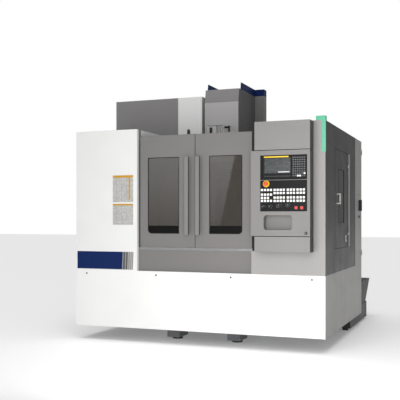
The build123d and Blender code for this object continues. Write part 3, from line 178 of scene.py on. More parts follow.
@dataclass(frozen=True)
class Finish:
    """A surface finish that wires its own shader.

    Attributes:
        name: The finish's name, which its material takes.
        colour: Its main colour as sRGB hex.
    """

    name: str
    colour: str

    def material(self) -> bpy.types.Material:
        """Make the material, or give the one that was made before."""
        known = bpy.data.materials.get(self.name)
        if known:
            return known
        material = bpy.data.materials.new(self.name)
        material.use_nodes = True
        tree = material.node_tree
        tree.nodes.clear()
        shader = add_node(tree, "ShaderNodeBsdfPrincipled", values={"Base Color": linear(self.colour)})
        add_node(tree, "ShaderNodeOutputMaterial", links={"Surface": shader.outputs[0]})
        self.wire(tree, shader)
        return material

    def wire(self, tree: Tree, shader: Node) -> None:
        """Wire the finish's own pattern into the shader; a plain finish has none."""

    def place(self, tree: Tree) -> Socket:
        """Add the object's own coordinates and give their socket."""
        return add_node(tree, "ShaderNodeTexCoord").outputs["Object"]

    def noise(
        self,
        tree: Tree,
        grain_mm: float,
        stretch: Sequence[float] = (1, 1, 1),
        detail: float = 3.0,
    ) -> Socket:
        """Add a noise pattern on object coordinates.

        Args:
            tree: The material's tree.
            grain_mm: The size of one grain in millimetres.
            stretch: How much finer the pattern is along X, Y and Z.
            detail: The noise's octaves.

        Returns:
            The noise's factor socket.
        """
        turned = add_node(
            tree, "ShaderNodeMapping", values={"Scale": tuple(stretch)}, links={"Vector": self.place(tree)}
        )
        pattern = add_node(
            tree,
            "ShaderNodeTexNoise",
            values={"Scale": 1 / (grain_mm * MM), "Detail": detail, "Roughness": 0.55},
            links={"Vector": turned.outputs["Vector"]},
        )
        return pattern.outputs["Fac"]

    def tint(self, tree: Tree, shader: Node, factor: Socket, depth: float) -> None:
        """Vary the base colour a little by a pattern.

        Args:
            tree: The material's tree.
            shader: The shader that takes the colour.
            factor: The pattern.
            depth: How much darker the darkest place is, from 0 to 1.
        """
        full = linear(self.colour)
        dark = tuple(channel * (1 - depth) for channel in full[:3]) + (1.0,)
        mix = add_node(tree, "ShaderNodeMix", {"data_type": "RGBA"}, {6: dark, 7: full}, {0: factor})
        tree.links.new(mix.outputs[2], shader.inputs["Base Color"])

    def spread(self, tree: Tree, factor: Socket, low: float = 0.0, high: float = 1.0) -> Socket:
        """Map a pattern from its middle range to a range of values and give the socket."""
        mapped = add_node(
            tree,
            "ShaderNodeMapRange",
            values={"From Min": 0.3, "From Max": 0.7, "To Min": low, "To Max": high},
            links={"Value": factor},
        )
        return mapped.outputs["Result"]

    def gloss(self, tree: Tree, shader: Node, factor: Socket, low: float, high: float) -> None:
        """Vary the roughness by a pattern, between two values."""
        tree.links.new(self.spread(tree, factor, low, high), shader.inputs["Roughness"])

    def bump(
        self, tree: Tree, shader: Node, height: Socket, depth_mm: float, strength: float = 0.5
    ) -> None:
        """Raise a pattern by a real depth in millimetres."""
        relief = add_node(
            tree,
            "ShaderNodeBump",
            values={"Strength": strength, "Distance": depth_mm * MM},
            links={"Height": height},
        )
        tree.links.new(relief.outputs["Normal"], shader.inputs["Normal"])


@dataclass(frozen=True)
class PowderCoat(Finish):
    """Polyester powder coat on folded steel sheet: satin, with a fine orange peel.

    The peel is about 2 mm from crest to crest, and the coat is a little uneven in tone over a
    sheet, which gives broad soft highlights instead of a mirror.
    """

    roughness: float = 0.40
    shine: float = 0.30

    def wire(self, tree: Tree, shader: Node) -> None:
        """Wire the orange peel, the uneven tone and the uneven gloss."""
        shader.inputs["Specular IOR Level"].default_value = self.shine
        sheet_tone = self.noise(tree, 420, detail=2.0)
        self.tint(tree, shader, self.spread(tree, sheet_tone), 0.035)
        self.gloss(tree, shader, self.noise(tree, 160), self.roughness - 0.04, self.roughness + 0.05)
        self.bump(tree, shader, self.noise(tree, 2.2, detail=1.0), 0.03, 0.35)


@dataclass(frozen=True)
class CastEnamel(Finish):
    """Machine enamel over filled grey iron: coarser than sheet, with a faint cast texture of 6 mm."""

    def wire(self, tree: Tree, shader: Node) -> None:
        """Wire the cast texture and the flow of the enamel."""
        self.tint(tree, shader, self.spread(tree, self.noise(tree, 90)), 0.10)
        shader.inputs["Roughness"].default_value = 0.46
        self.bump(tree, shader, self.noise(tree, 6, detail=4.0), 0.25, 0.4)


@dataclass(frozen=True)
class GroundMetal(Finish):
    """Ground or brushed metal: fine lines of 0.8 mm pitch along one direction.

    The lines spread highlights across the grain. They are drawn at 0.8 mm, coarser than the real
    grit, so that they show.
    """

    grain: Axis = Axis.ACROSS
    roughness: float = 0.30

    def wire(self, tree: Tree, shader: Node) -> None:
        """Wire the grinding lines into tone, gloss and bump."""
        shader.inputs["Metallic"].default_value = 1.0
        stretch = [1.0, 1.0, 1.0]
        stretch[self.grain.value] = 0.01
        lines = self.noise(tree, 0.8, stretch, detail=2.0)
        self.tint(tree, shader, self.spread(tree, lines), 0.14)
        self.gloss(tree, shader, lines, self.roughness - 0.08, self.roughness + 0.10)
        self.bump(tree, shader, lines, 0.01, 0.3)


@dataclass(frozen=True)
class BlastedMetal(Finish):
    """Bead-blasted, anodised aluminium: a matt silky metal with a 0.6 mm grain."""

    def wire(self, tree: Tree, shader: Node) -> None:
        """Wire the blasted grain."""
        shader.inputs["Metallic"].default_value = 0.85
        grain = self.noise(tree, 0.6, detail=2.0)
        self.tint(tree, shader, self.spread(tree, grain), 0.08)
        self.gloss(tree, shader, self.noise(tree, 60), 0.40, 0.52)
        self.bump(tree, shader, grain, 0.01, 0.3)


@dataclass(frozen=True)
class ZincSheet(Finish):
    """Hot-dip zinc on sheet steel: spangles of about 14 mm that differ in tone and gloss."""

    spangle_mm: float = 14.0

    def wire(self, tree: Tree, shader: Node) -> None:
        """Wire the spangles."""
        shader.inputs["Metallic"].default_value = 0.9
        spangle = add_node(
            tree,
            "ShaderNodeTexVoronoi",
            values={"Scale": 1 / (self.spangle_mm * MM)},
            links={"Vector": self.place(tree)},
        )
        split = add_node(tree, "ShaderNodeSeparateColor", links={0: spangle.outputs["Color"]})
        self.tint(tree, shader, split.outputs[0], 0.20)
        self.gloss(tree, shader, split.outputs[1], 0.34, 0.48)


@dataclass(frozen=True)
class SmokedGlass(Finish):
    """Laminated safety glass with a smoke tint: dark, glossy and half clear."""

    clear: float = 0.45
    shine: float = 0.5

    def wire(self, tree: Tree, shader: Node) -> None:
        """Set the tint and the faint waviness of the pane."""
        shader.inputs["Specular IOR Level"].default_value = self.shine
        shader.inputs["Roughness"].default_value = 0.03
        shader.inputs["IOR"].default_value = 1.52
        shader.inputs["Alpha"].default_value = 1 - self.clear
        self.tint(tree, shader, self.spread(tree, self.noise(tree, 260)), 0.12)
        self.bump(tree, shader, self.noise(tree, 180, detail=1.0), 0.15, 0.25)


@dataclass(frozen=True)
class MouldedPlastic(Finish):
    """Injection-moulded ABS with a spark-eroded texture of 0.8 mm."""

    roughness: float = 0.45
    shine: float = 0.40

    def wire(self, tree: Tree, shader: Node) -> None:
        """Wire the mould texture."""
        shader.inputs["Specular IOR Level"].default_value = self.shine
        grain = self.noise(tree, 0.8, detail=2.0)
        self.tint(tree, shader, self.spread(tree, self.noise(tree, 35)), 0.06)
        self.gloss(tree, shader, grain, self.roughness - 0.05, self.roughness + 0.05)
        self.bump(tree, shader, grain, 0.02, 0.3)


@dataclass(frozen=True)
class SealRubber(Finish):
    """Extruded nitrile rubber: near black and matt, with a faint bloom."""

    def wire(self, tree: Tree, shader: Node) -> None:
        """Wire the bloom."""
        self.tint(tree, shader, self.spread(tree, self.noise(tree, 12)), 0.25)
        shader.inputs["Roughness"].default_value = 0.75
        self.bump(tree, shader, self.noise(tree, 1.5), 0.03, 0.4)


@dataclass(frozen=True)
class LitLens(Finish):
    """A ribbed polycarbonate lens, lit from inside: it glows evenly, with ribs every 6 mm."""

    glow: float = 1.0
    rib_mm: float = 6.0

    def wire(self, tree: Tree, shader: Node) -> None:
        """Wire the ribs and set the glow."""
        shader.inputs["Roughness"].default_value = 0.25
        shader.inputs["Emission Color"].default_value = linear(self.colour)
        shader.inputs["Emission Strength"].default_value = self.glow
        ribs = add_node(
            tree,
            "ShaderNodeTexWave",
            {"bands_direction": "Z"},
            {"Scale": math.pi / 10 / (self.rib_mm * MM), "Distortion": 0.0},
            {"Vector": self.place(tree)},
        )
        self.tint(tree, shader, ribs.outputs["Fac"], 0.15)
        self.bump(tree, shader, ribs.outputs["Fac"], 0.4, 0.5)


@dataclass(frozen=True)
class PaintedFloor(Finish):
    """Matt white floor paint over a lit sweep, with a roller's faint mottle of 30 mm."""

    def wire(self, tree: Tree, shader: Node) -> None:
        """Wire the mottle and the sweep's faint glow."""
        shader.inputs["Emission Color"].default_value = linear(self.colour)
        shader.inputs["Emission Strength"].default_value = 0.20
        shader.inputs["Roughness"].default_value = 0.7
        shader.inputs["Specular IOR Level"].default_value = 0.1
        self.bump(tree, shader, self.noise(tree, 30), 0.05, 0.2)


@dataclass(frozen=True)
class GlowSheet(Finish):
    """An opal acrylic sheet that is lit from behind and fades towards its lower edge."""

    low: float = 0.3
    high: float = 2.8
    low_z: float = 1.0
    high_z: float = 2.4

    def wire(self, tree: Tree, shader: Node) -> None:
        """Set the glow and grade it over the sheet's height."""
        split = add_node(tree, "ShaderNodeSeparateXYZ", links={"Vector": self.place(tree)})
        grade = add_node(
            tree,
            "ShaderNodeMapRange",
            values={
                "From Min": self.low_z, "From Max": self.high_z, "To Min": self.low, "To Max": self.high
            },
            links={"Value": split.outputs["Z"]},
        )
        shader.inputs["Emission Color"].default_value = linear(self.colour)
        tree.links.new(grade.outputs["Result"], shader.inputs["Emission Strength"])


@dataclass(frozen=True)
class PrintedRows(Finish):
    """Rows of plain marks on a flat face, such as a screen's fields or a chart's lines.

    The marks are bars of chance length that stand for rows of figures and spell nothing.
    """

    mark: str = "#FFFFFF"
    row_mm: float = 9.0
    glow: float = 0.0

    def wire(self, tree: Tree, shader: Node) -> None:
        """Wire the rows, the chance lengths of their marks and a faint print grain."""
        turned = add_node(
            tree,
            "ShaderNodeMapping",
            values={"Rotation": (math.pi / 2, 0.0, 0.0)},
            links={"Vector": self.place(tree)},
        )
        rows = add_node(
            tree,
            "ShaderNodeTexBrick",
            {"offset": 0.37, "offset_frequency": 2, "squash": 1.6, "squash_frequency": 3},
            {
                "Color1": linear(self.mark),
                "Color2": linear(self.colour),
                "Mortar": linear(self.colour),
                "Scale": 1.0,
                "Mortar Size": self.row_mm * MM * 0.28,
                "Mortar Smooth": 0.1,
                "Bias": -0.15,
                "Brick Width": self.row_mm * MM * 1.9,
                "Row Height": self.row_mm * MM,
            },
            {"Vector": turned.outputs["Vector"]},
        )
        tree.links.new(rows.outputs["Color"], shader.inputs["Base Color"])
        shader.inputs["Roughness"].default_value = 0.35
        if self.glow:
            tree.links.new(rows.outputs["Color"], shader.inputs["Emission Color"])
            shader.inputs["Emission Strength"].default_value = self.glow


WHITE = PowderCoat("white_polyester_coat", "#F1F1F0", 0.38)
PANEL_WHITE = PowderCoat("panel_white_polyester_coat", "#ECECEB", 0.38)
MID_GREY = PowderCoat("mid_grey_polyester_coat", "#7B7978")
LIGHT_GREY = PowderCoat("light_grey_polyester_coat", "#A2A09E")
BOX_GREY = PowderCoat("box_grey_polyester_coat", "#878684")
CONSOLE_GREY = PowderCoat("console_grey_polyester_coat", "#82807F")
CHARCOAL = PowderCoat("charcoal_polyester_coat", "#343334")
HOOD_GREY = PowderCoat("hood_grey_polyester_coat", "#B5B3B4")
FLANK_GREY = PowderCoat("flank_grey_polyester_coat", "#5F5D5E")
DUSK_GREY = PowderCoat("dusk_grey_polyester_coat", "#8D8B8C")
BEVEL_GREY = PowderCoat("bevel_grey_polyester_coat", "#8F8D8D")
# A lighter copy of the door frame's dusk grey coat: painted light that lifts the frame out of the shade it
# sits in.
SHADE_LIFTED_RAIL_GREY = PowderCoat("shade_lifted_rail_grey_coat", "#A6A4A3")
WIDE_GREY = PowderCoat("wide_hood_polyester_coat", "#7E807D")
NAVY = PowderCoat("navy_polyester_coat", "#0B2459", 0.45, 0.15)
SIDE_GREY = PowderCoat("side_grey_polyester_coat", "#979693")
INNER_GREY = PowderCoat("inner_grey_polyester_coat", "#C2C1BD")
TANK_GREY = PowderCoat("tank_polyester_coat", "#3C3C3D", 0.5)
CASTING = CastEnamel("casting_enamel", "#75777A")
HEAD_ENAMEL = CastEnamel("pale_head_enamel", "#C9C9C7")
MOTOR_ENAMEL = CastEnamel("black_motor_enamel", "#1B1C1E")
GROUND_X = GroundMetal("ground_steel_across", "#B4B6B8", Axis.ACROSS)
GROUND_Y = GroundMetal("ground_steel_back", "#B4B6B8", Axis.BACK)
GROUND_Z = GroundMetal("ground_steel_upright", "#B4B6B8", Axis.UP)
STAINLESS = GroundMetal("brushed_stainless", "#D9DADB", Axis.ACROSS, 0.22)
SILL_STEEL = GroundMetal("brushed_sill_steel", "#A2A3A4", Axis.ACROSS, 0.30)
TABLE_IRON = GroundMetal("ground_cast_iron", "#8E9092", Axis.ACROSS, 0.36)
SATIN_ALUMINIUM = BlastedMetal("blasted_aluminium", "#BFBEBA")
HANDLE_GREY = PowderCoat("handle_satin_coat", "#7F7E7B", 0.42, 0.35)
ZINC = ZincSheet("zinc_sheet", "#A9ABAD")
FOOT_GREY = CastEnamel("foot_enamel", "#3E3E3F")
SMOKED = SmokedGlass("smoked_safety_glass", "#48443F", 0.30)
SIDE_SMOKED = SmokedGlass("dark_service_glass", "#171512", 0.12, 0.10)
BAND_BLACK = MouldedPlastic("black_ceramic_band", "#0B0B0C", 0.50, 0.12)
PANEL_BLACK = MouldedPlastic("black_membrane", "#0F1012", 0.42, 0.15)
# Black ABS for the knobs and fittings; the skirt screws' socket discs also take it as painted shade.
KNOB_BLACK_AND_SOCKET_SHADE = MouldedPlastic("black_abs_and_painted_shade", "#111112", 0.38)
KEY_GREY = MouldedPlastic("grey_key_abs", "#34373A", 0.45)
KEY_WHITE = MouldedPlastic("white_key_abs", "#F2F2F0", 0.40)
SIGNAL_RED = MouldedPlastic("signal_red_abs", "#E3541F", 0.30)
BUTTON_RED = MouldedPlastic("red_button_abs", "#E0352B", 0.30)
SIGNAL_YELLOW = MouldedPlastic("yellow_abs", "#E8C21C", 0.40)
AMBER = MouldedPlastic("amber_print", "#C9992A", 0.40)
PLATE_GREY = PrintedRows("chart_rows", "#A9A8A5", "#D9D8D6", 11.0)
SCREEN_ROWS = PrintedRows("screen_rows", "#171B1D", "#4C5254", 11.0, 0.06)
# Black rubber for the seals; the door handles' sides and the service door's seal strips also take it as
# painted shade.
SEAL_RUBBER_AND_SHADE = SealRubber("nitrile_rubber_and_painted_shade", "#19191A")
LAMP_GREEN = LitLens("lit_green_lens", "#4CA985", 0.42)
BRASS = GroundMetal("turned_brass", "#B08D4A", Axis.UP, 0.30)

FINISH_OF_SLOT: dict[str, Finish] = {
    "white_powder_coat": WHITE,
    "mid_grey_powder_coat": MID_GREY,
    "light_grey_powder_coat": LIGHT_GREY,
    "charcoal_powder_coat": CHARCOAL,
    "dusk_grey_powder_coat": DUSK_GREY,
    "navy_powder_coat": NAVY,
    "side_grey_powder_coat": SIDE_GREY,
    "casting_paint": CASTING,
    "head_paint": HEAD_ENAMEL,
    "ground_steel": GROUND_X,
    "bright_steel": STAINLESS,
    "table_iron": TABLE_IRON,
    "galvanised_sheet": ZINC,
    "foot_steel": FOOT_GREY,
    "motor_black": MOTOR_ENAMEL,
    "handle_aluminium": SATIN_ALUMINIUM,
    "smoked_window": SMOKED,
    "panel_black": PANEL_BLACK,
    "knob_black": KNOB_BLACK_AND_SOCKET_SHADE,
    "stop_red": SIGNAL_RED,
    "button_red": BUTTON_RED,
    "lamp_green": LAMP_GREEN,
    "magazine_metal": SATIN_ALUMINIUM,
    "tank_paint": TANK_GREY,
}


def rounded(x: Span, z: Span, radii: Sequence[float] | float, points_each: int = 6) -> Outline:
    """Outline a rectangle with a radius at each corner.

    Args:
        x: The span of the first coordinate.
        z: The span of the second one.
        radii: Corner radii, from the lowest left corner anticlockwise, or one for all four.
        points_each: Points that round one corner.

    Returns:
        The outline's points, as many whatever the radii are.
    """
    points: Outline = []
    if isinstance(radii, (int, float)):
        radii = (radii,) * 4
    corners = ((x[0], z[0], 1, 1), (x[1], z[0], -1, 1), (x[1], z[1], -1, -1), (x[0], z[1], 1, -1))
    for turn, ((u, v, along, up), radius) in enumerate(zip(corners, radii)):
        start = math.pi * (1 + turn / 2)
        for step in range(points_each):
            angle = start + math.pi / 2 * step / (points_each - 1)
            across = u + along * radius + radius * math.cos(angle)
            points.append((across, v + up * radius + radius * math.sin(angle)))
    return points


def square(x: float, z: float, half: float, radius: float) -> Outline:
    """Outline a square with round corners, from its middle and half its width."""
    return rounded(around(x, half), around(z, half), radius)


class Shape:
    """A mesh under construction, sized in millimetres of X, depth and height."""

    def __init__(self) -> None:
        """Start with no faces."""
        self.mesh = bmesh.new()
        self.finishes: list[Finish] = []
        self.current = 0

    def use(self, finish: Finish) -> "Shape":
        """Give the faces that follow this finish."""
        if finish not in self.finishes:
            self.finishes.append(finish)
        self.current = self.finishes.index(finish)
        return self

    def face(self, points: Iterable[bmesh.types.BMVert]) -> None:
        """Add one face in the current finish."""
        made = self.mesh.faces.new(tuple(points))
        made.material_index = self.current

    def point(self, axis: Axis, u: float, v: float, along: float) -> bmesh.types.BMVert:
        """Add a point from its place across an axis and along it."""
        place = {
            Axis.ACROSS: (along, u, v),
            Axis.BACK: (u, along, v),
            Axis.UP: (u, v, along),
        }[axis]
        return self.mesh.verts.new(at(*place))

    def prism(self, axis: Axis, outline: Outline, span: Span) -> "Shape":
        """Extrude an outline along an axis.

        Args:
            axis: The direction of the extrusion.
            outline: The outline in the other two coordinates, in X, depth, height order.
            span: Where the extrusion starts and ends.

        Returns:
            This shape.
        """
        near = [self.point(axis, u, v, span[0]) for u, v in outline]
        far = [self.point(axis, u, v, span[1]) for u, v in outline]
        self.face(near)
        self.face(reversed(far))
        for i in range(len(outline)):
            j = (i + 1) % len(outline)
            self.face((near[i], near[j], far[j], far[i]))
        return self

    def box(self, x: Span, depth: Span, z: Span) -> "Shape":
        """Add a block."""
        return self.prism(Axis.BACK, [(x[0], z[0]), (x[1], z[0]), (x[1], z[1]), (x[0], z[1])], depth)

    def band(self, axis: Axis, outer: Outline, inner: Outline, span: Span) -> "Shape":
        """Add a closed frame between two outlines with as many points."""
        loops = [
            [self.point(axis, u, v, along) for u, v in outline]
            for outline, along in ((outer, span[0]), (inner, span[0]), (inner, span[1]), (outer, span[1]))
        ]
        for near, far in zip(loops, loops[1:] + loops[:1]):
            for i in range(len(outer)):
                j = (i + 1) % len(outer)
                self.face((near[i], near[j], far[j], far[i]))
        return self

    def lathe(self, axis: Axis, centre: tuple[float, float], profile: Outline, sides: int = 32) -> "Shape":
        """Turn a profile about an axis.

        Args:
            axis: The axis of the turning.
            centre: The axis's place in the other two coordinates.
            profile: Points of radius and place along the axis; an end off the axis is capped.
            sides: How many sides the turning has.

        Returns:
            This shape.
        """
        rings = []
        for radius, along in profile:
            if radius <= 0:
                rings.append([self.point(axis, centre[0], centre[1], along)])
                continue
            ring = []
            for side in range(sides):
                angle = 2 * math.pi * side / sides
                u = centre[0] + radius * math.cos(angle)
                v = centre[1] + radius * math.sin(angle)
                ring.append(self.point(axis, u, v, along))
            rings.append(ring)
        for near, far in zip(rings, rings[1:]):
            for i in range(sides):
                j = (i + 1) % sides
                corners = [near[i % len(near)], near[j % len(near)], far[j % len(far)], far[i % len(far)]]
                self.face(dict.fromkeys(corners))
        for ring in (rings[0], rings[-1]):
            if len(ring) > 1:
                self.face(ring)
        return self

    def made(
        self,
        name: str,
        body: str,
        stands_for: Sequence[str] = (),
        edge: float = 0.0,
        smooth: float = 40.0,
    ) -> Piece:
        """Finish the mesh as a piece that rides on a body.

        Args:
            name: The piece's name.
            body: The CAD body that it rides on.
            stands_for: CAD nodes that it takes the place of.
            edge: The radius that its sharp edges get, in millimetres.
            smooth: The angle under which edges are shaded smooth, in degrees.

        Returns:
            The piece's object.
        """
        bmesh.ops.recalc_face_normals(self.mesh, faces=self.mesh.faces)
        data = bpy.data.meshes.new(name)
        for finish in self.finishes:
            data.materials.append(finish.material())
        piece = close_mesh(self.mesh, data, name, edge, smooth)
        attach(piece, body)
        if stands_for:
            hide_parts(*stands_for)
        return piece


def close_mesh(
    mesh: bmesh.types.BMesh, data: bpy.types.Mesh, name: str, edge: float, smooth: float
) -> Piece:
    """Write a mesh to an object, with soft shading and rounded edges.

    Args:
        mesh: The mesh that was built, which is freed.
        data: The mesh data that takes it.
        name: The object's name.
        edge: The radius of its sharp edges in millimetres, or 0 for none.
        smooth: The angle under which edges are shaded smooth, in degrees.

    Returns:
        The linked object.
    """
    for face in mesh.faces:
        face.smooth = True
    for line in mesh.edges:
        line.smooth = line.is_manifold and line.calc_face_angle(0.0) < math.radians(smooth)
    mesh.to_mesh(data)
    mesh.free()
    piece = placed(name, data)
    if edge:
        bevel = piece.modifiers.new("edges", "BEVEL")
        bevel.width = edge * MM
        bevel.segments = 2
        bevel.limit_method = "ANGLE"
        bevel.angle_limit = math.radians(smooth)
        bevel.harden_normals = True
    return piece


@dataclass(frozen=True)
class Facing:
    """What a rule knows about one face: its middle in millimetres and its direction."""

    x: float
    depth: float
    z: float
    normal: Vector


Rule = tuple[Callable[[Facing], bool], Finish]


def dress(
    node: str, finish: Finish | None = None, edge: float = 1.2, rules: Sequence[Rule] = ()
) -> Piece:
    """Give a CAD node folded or machined edges and its finish, as a piece that stands for it.

    Args:
        node: The CAD node.
        finish: Its finish, or none for that of its material slot.
        edge: The radius of its edges in millimetres.
        rules: Finishes of single faces, each with the test that picks them; the first that fits holds.

    Returns:
        The piece.
    """
    mesh = bmesh.new()
    mesh.from_mesh(frame["nodes"][node].data)
    bmesh.ops.remove_doubles(mesh, verts=mesh.verts, dist=0.01 * MM)
    bmesh.ops.dissolve_limit(
        mesh, angle_limit=math.radians(0.5), verts=mesh.verts, edges=mesh.edges, delimit={"NORMAL"}
    )
    name = f"{node}_dressed"
    data = bpy.data.meshes.new(name)
    finishes = [finish or FINISH_OF_SLOT[SLOT_OF[node]]]
    for _, other in rules:
        if other not in finishes:
            finishes.append(other)
    for one in finishes:
        data.materials.append(one.material())
    for face in mesh.faces:
        centre = face.calc_center_median() / MM
        seen = Facing(centre.x, centre.y - FRONT, centre.z, face.normal)
        chosen = next((other for test, other in rules if test(seen)), finishes[0])
        face.material_index = finishes.index(chosen)
    piece = close_mesh(mesh, data, name, edge, 30.0)
    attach(piece, BODY_OF[node])
    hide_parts(node)
    return piece


class Pattern(Enum):
    """The solids that a repeated row can be made of."""

    BLOCK = "GeometryNodeMeshCube"
    ROUND = "GeometryNodeMeshCylinder"


@dataclass(frozen=True)
class Repeats:
    """One solid repeated at many places by Geometry Nodes.

    Attributes:
        pattern: The solid that is repeated.
        size: Its size in millimetres: width, depth and height of a block, or radius, length and
            number of sides of a round one, whose axis is its third direction.
        turn: Its turn in degrees about X, Y and Z.
        finish: Its finish.
    """

    pattern: Pattern
    size: tuple[float, float, float]
    finish: Finish
    turn: tuple[float, float, float] = (0.0, 0.0, 0.0)

    def tree(self) -> tuple[Tree, dict[str, str]]:
        """Build the node tree.

        Returns:
            The tree, and the identifier of each of its named inputs.
        """
        tree = bpy.data.node_groups.new(f"repeat_{self.pattern.name.lower()}", "GeometryNodeTree")
        tree.interface.new_socket(name="Geometry", in_out="INPUT", socket_type="NodeSocketGeometry")
        names = {}
        for label in ("First Size", "Second Size", "Third Size"):
            socket = tree.interface.new_socket(name=label, in_out="INPUT", socket_type="NodeSocketFloat")
            names[label] = socket.identifier
        turn = tree.interface.new_socket(name="Turn", in_out="INPUT", socket_type="NodeSocketVector")
        names["Turn"] = turn.identifier
        tree.interface.new_socket(name="Geometry", in_out="OUTPUT", socket_type="NodeSocketGeometry")
        given = add_node(tree, "NodeGroupInput")
        if self.pattern is Pattern.BLOCK:
            size = add_node(
                tree,
                "ShaderNodeCombineXYZ",
                links={
                    0: given.outputs["First Size"],
                    1: given.outputs["Second Size"],
                    2: given.outputs["Third Size"],
                },
            )
            solid = add_node(tree, self.pattern.value, links={"Size": size.outputs[0]})
        else:
            solid = add_node(
                tree,
                self.pattern.value,
                values={"Vertices": int(self.size[2])},
                links={"Radius": given.outputs["First Size"], "Depth": given.outputs["Second Size"]},
            )
        copies = add_node(
            tree,
            "GeometryNodeInstanceOnPoints",
            links={
                "Points": given.outputs["Geometry"],
                "Instance": solid.outputs["Mesh"],
                "Rotation": given.outputs["Turn"],
            },
        )
        real = add_node(tree, "GeometryNodeRealizeInstances", links={0: copies.outputs[0]})
        painted = add_node(
            tree,
            "GeometryNodeSetMaterial",
            values={"Material": self.finish.material()},
            links={"Geometry": real.outputs[0]},
        )
        add_node(tree, "NodeGroupOutput", links={"Geometry": painted.outputs[0]})
        return tree, names

    def made(self, name: str, body: str, places: Iterable[Place]) -> Piece:
        """Repeat the solid at each place, as one plain mesh.

        Args:
            name: The piece's name.
            body: The CAD body that it rides on.
            places: The X, depth and height of each copy's middle, in millimetres.

        Returns:
            The piece.
        """
        tree, names = self.tree()
        carrier_data = bpy.data.meshes.new(f"{name}_places")
        carrier_data.from_pydata([at(*place) for place in places], [], [])
        carrier = placed(f"{name}_carrier", carrier_data)
        modifier = carrier.modifiers.new("repeat", "NODES")
        modifier.node_group = tree
        for label, value in zip(("First Size", "Second Size", "Third Size"), self.size):
            modifier[names[label]] = value * MM
        modifier[names["Turn"]] = [math.radians(angle) for angle in self.turn]
        data = plain_mesh(carrier)
        carrier.modifiers.remove(modifier)
        bpy.data.objects.remove(carrier)
        data.name = name
        piece = placed(name, data)
        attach(piece, body)
        return piece


def plain_mesh(source: Piece) -> bpy.types.Mesh:
    """Turn what an object's modifiers make into plain mesh data."""
    bpy.context.view_layer.update()
    graph = bpy.context.evaluated_depsgraph_get()
    return bpy.data.meshes.new_from_object(source.evaluated_get(graph))


def grid(xs: Iterable[float], depth: float, zs: Iterable[float]) -> list[Place]:
    """List the places of a grid on one depth, from its columns and rows."""
    rows = list(zs)
    return [(x, depth, z) for x in xs for z in rows]


def steps(span: Span, count: int) -> list[float]:
    """Divide a span into evenly spaced values, both ends included."""
    return [span[0] + (span[1] - span[0]) * i / (count - 1) for i in range(count)]


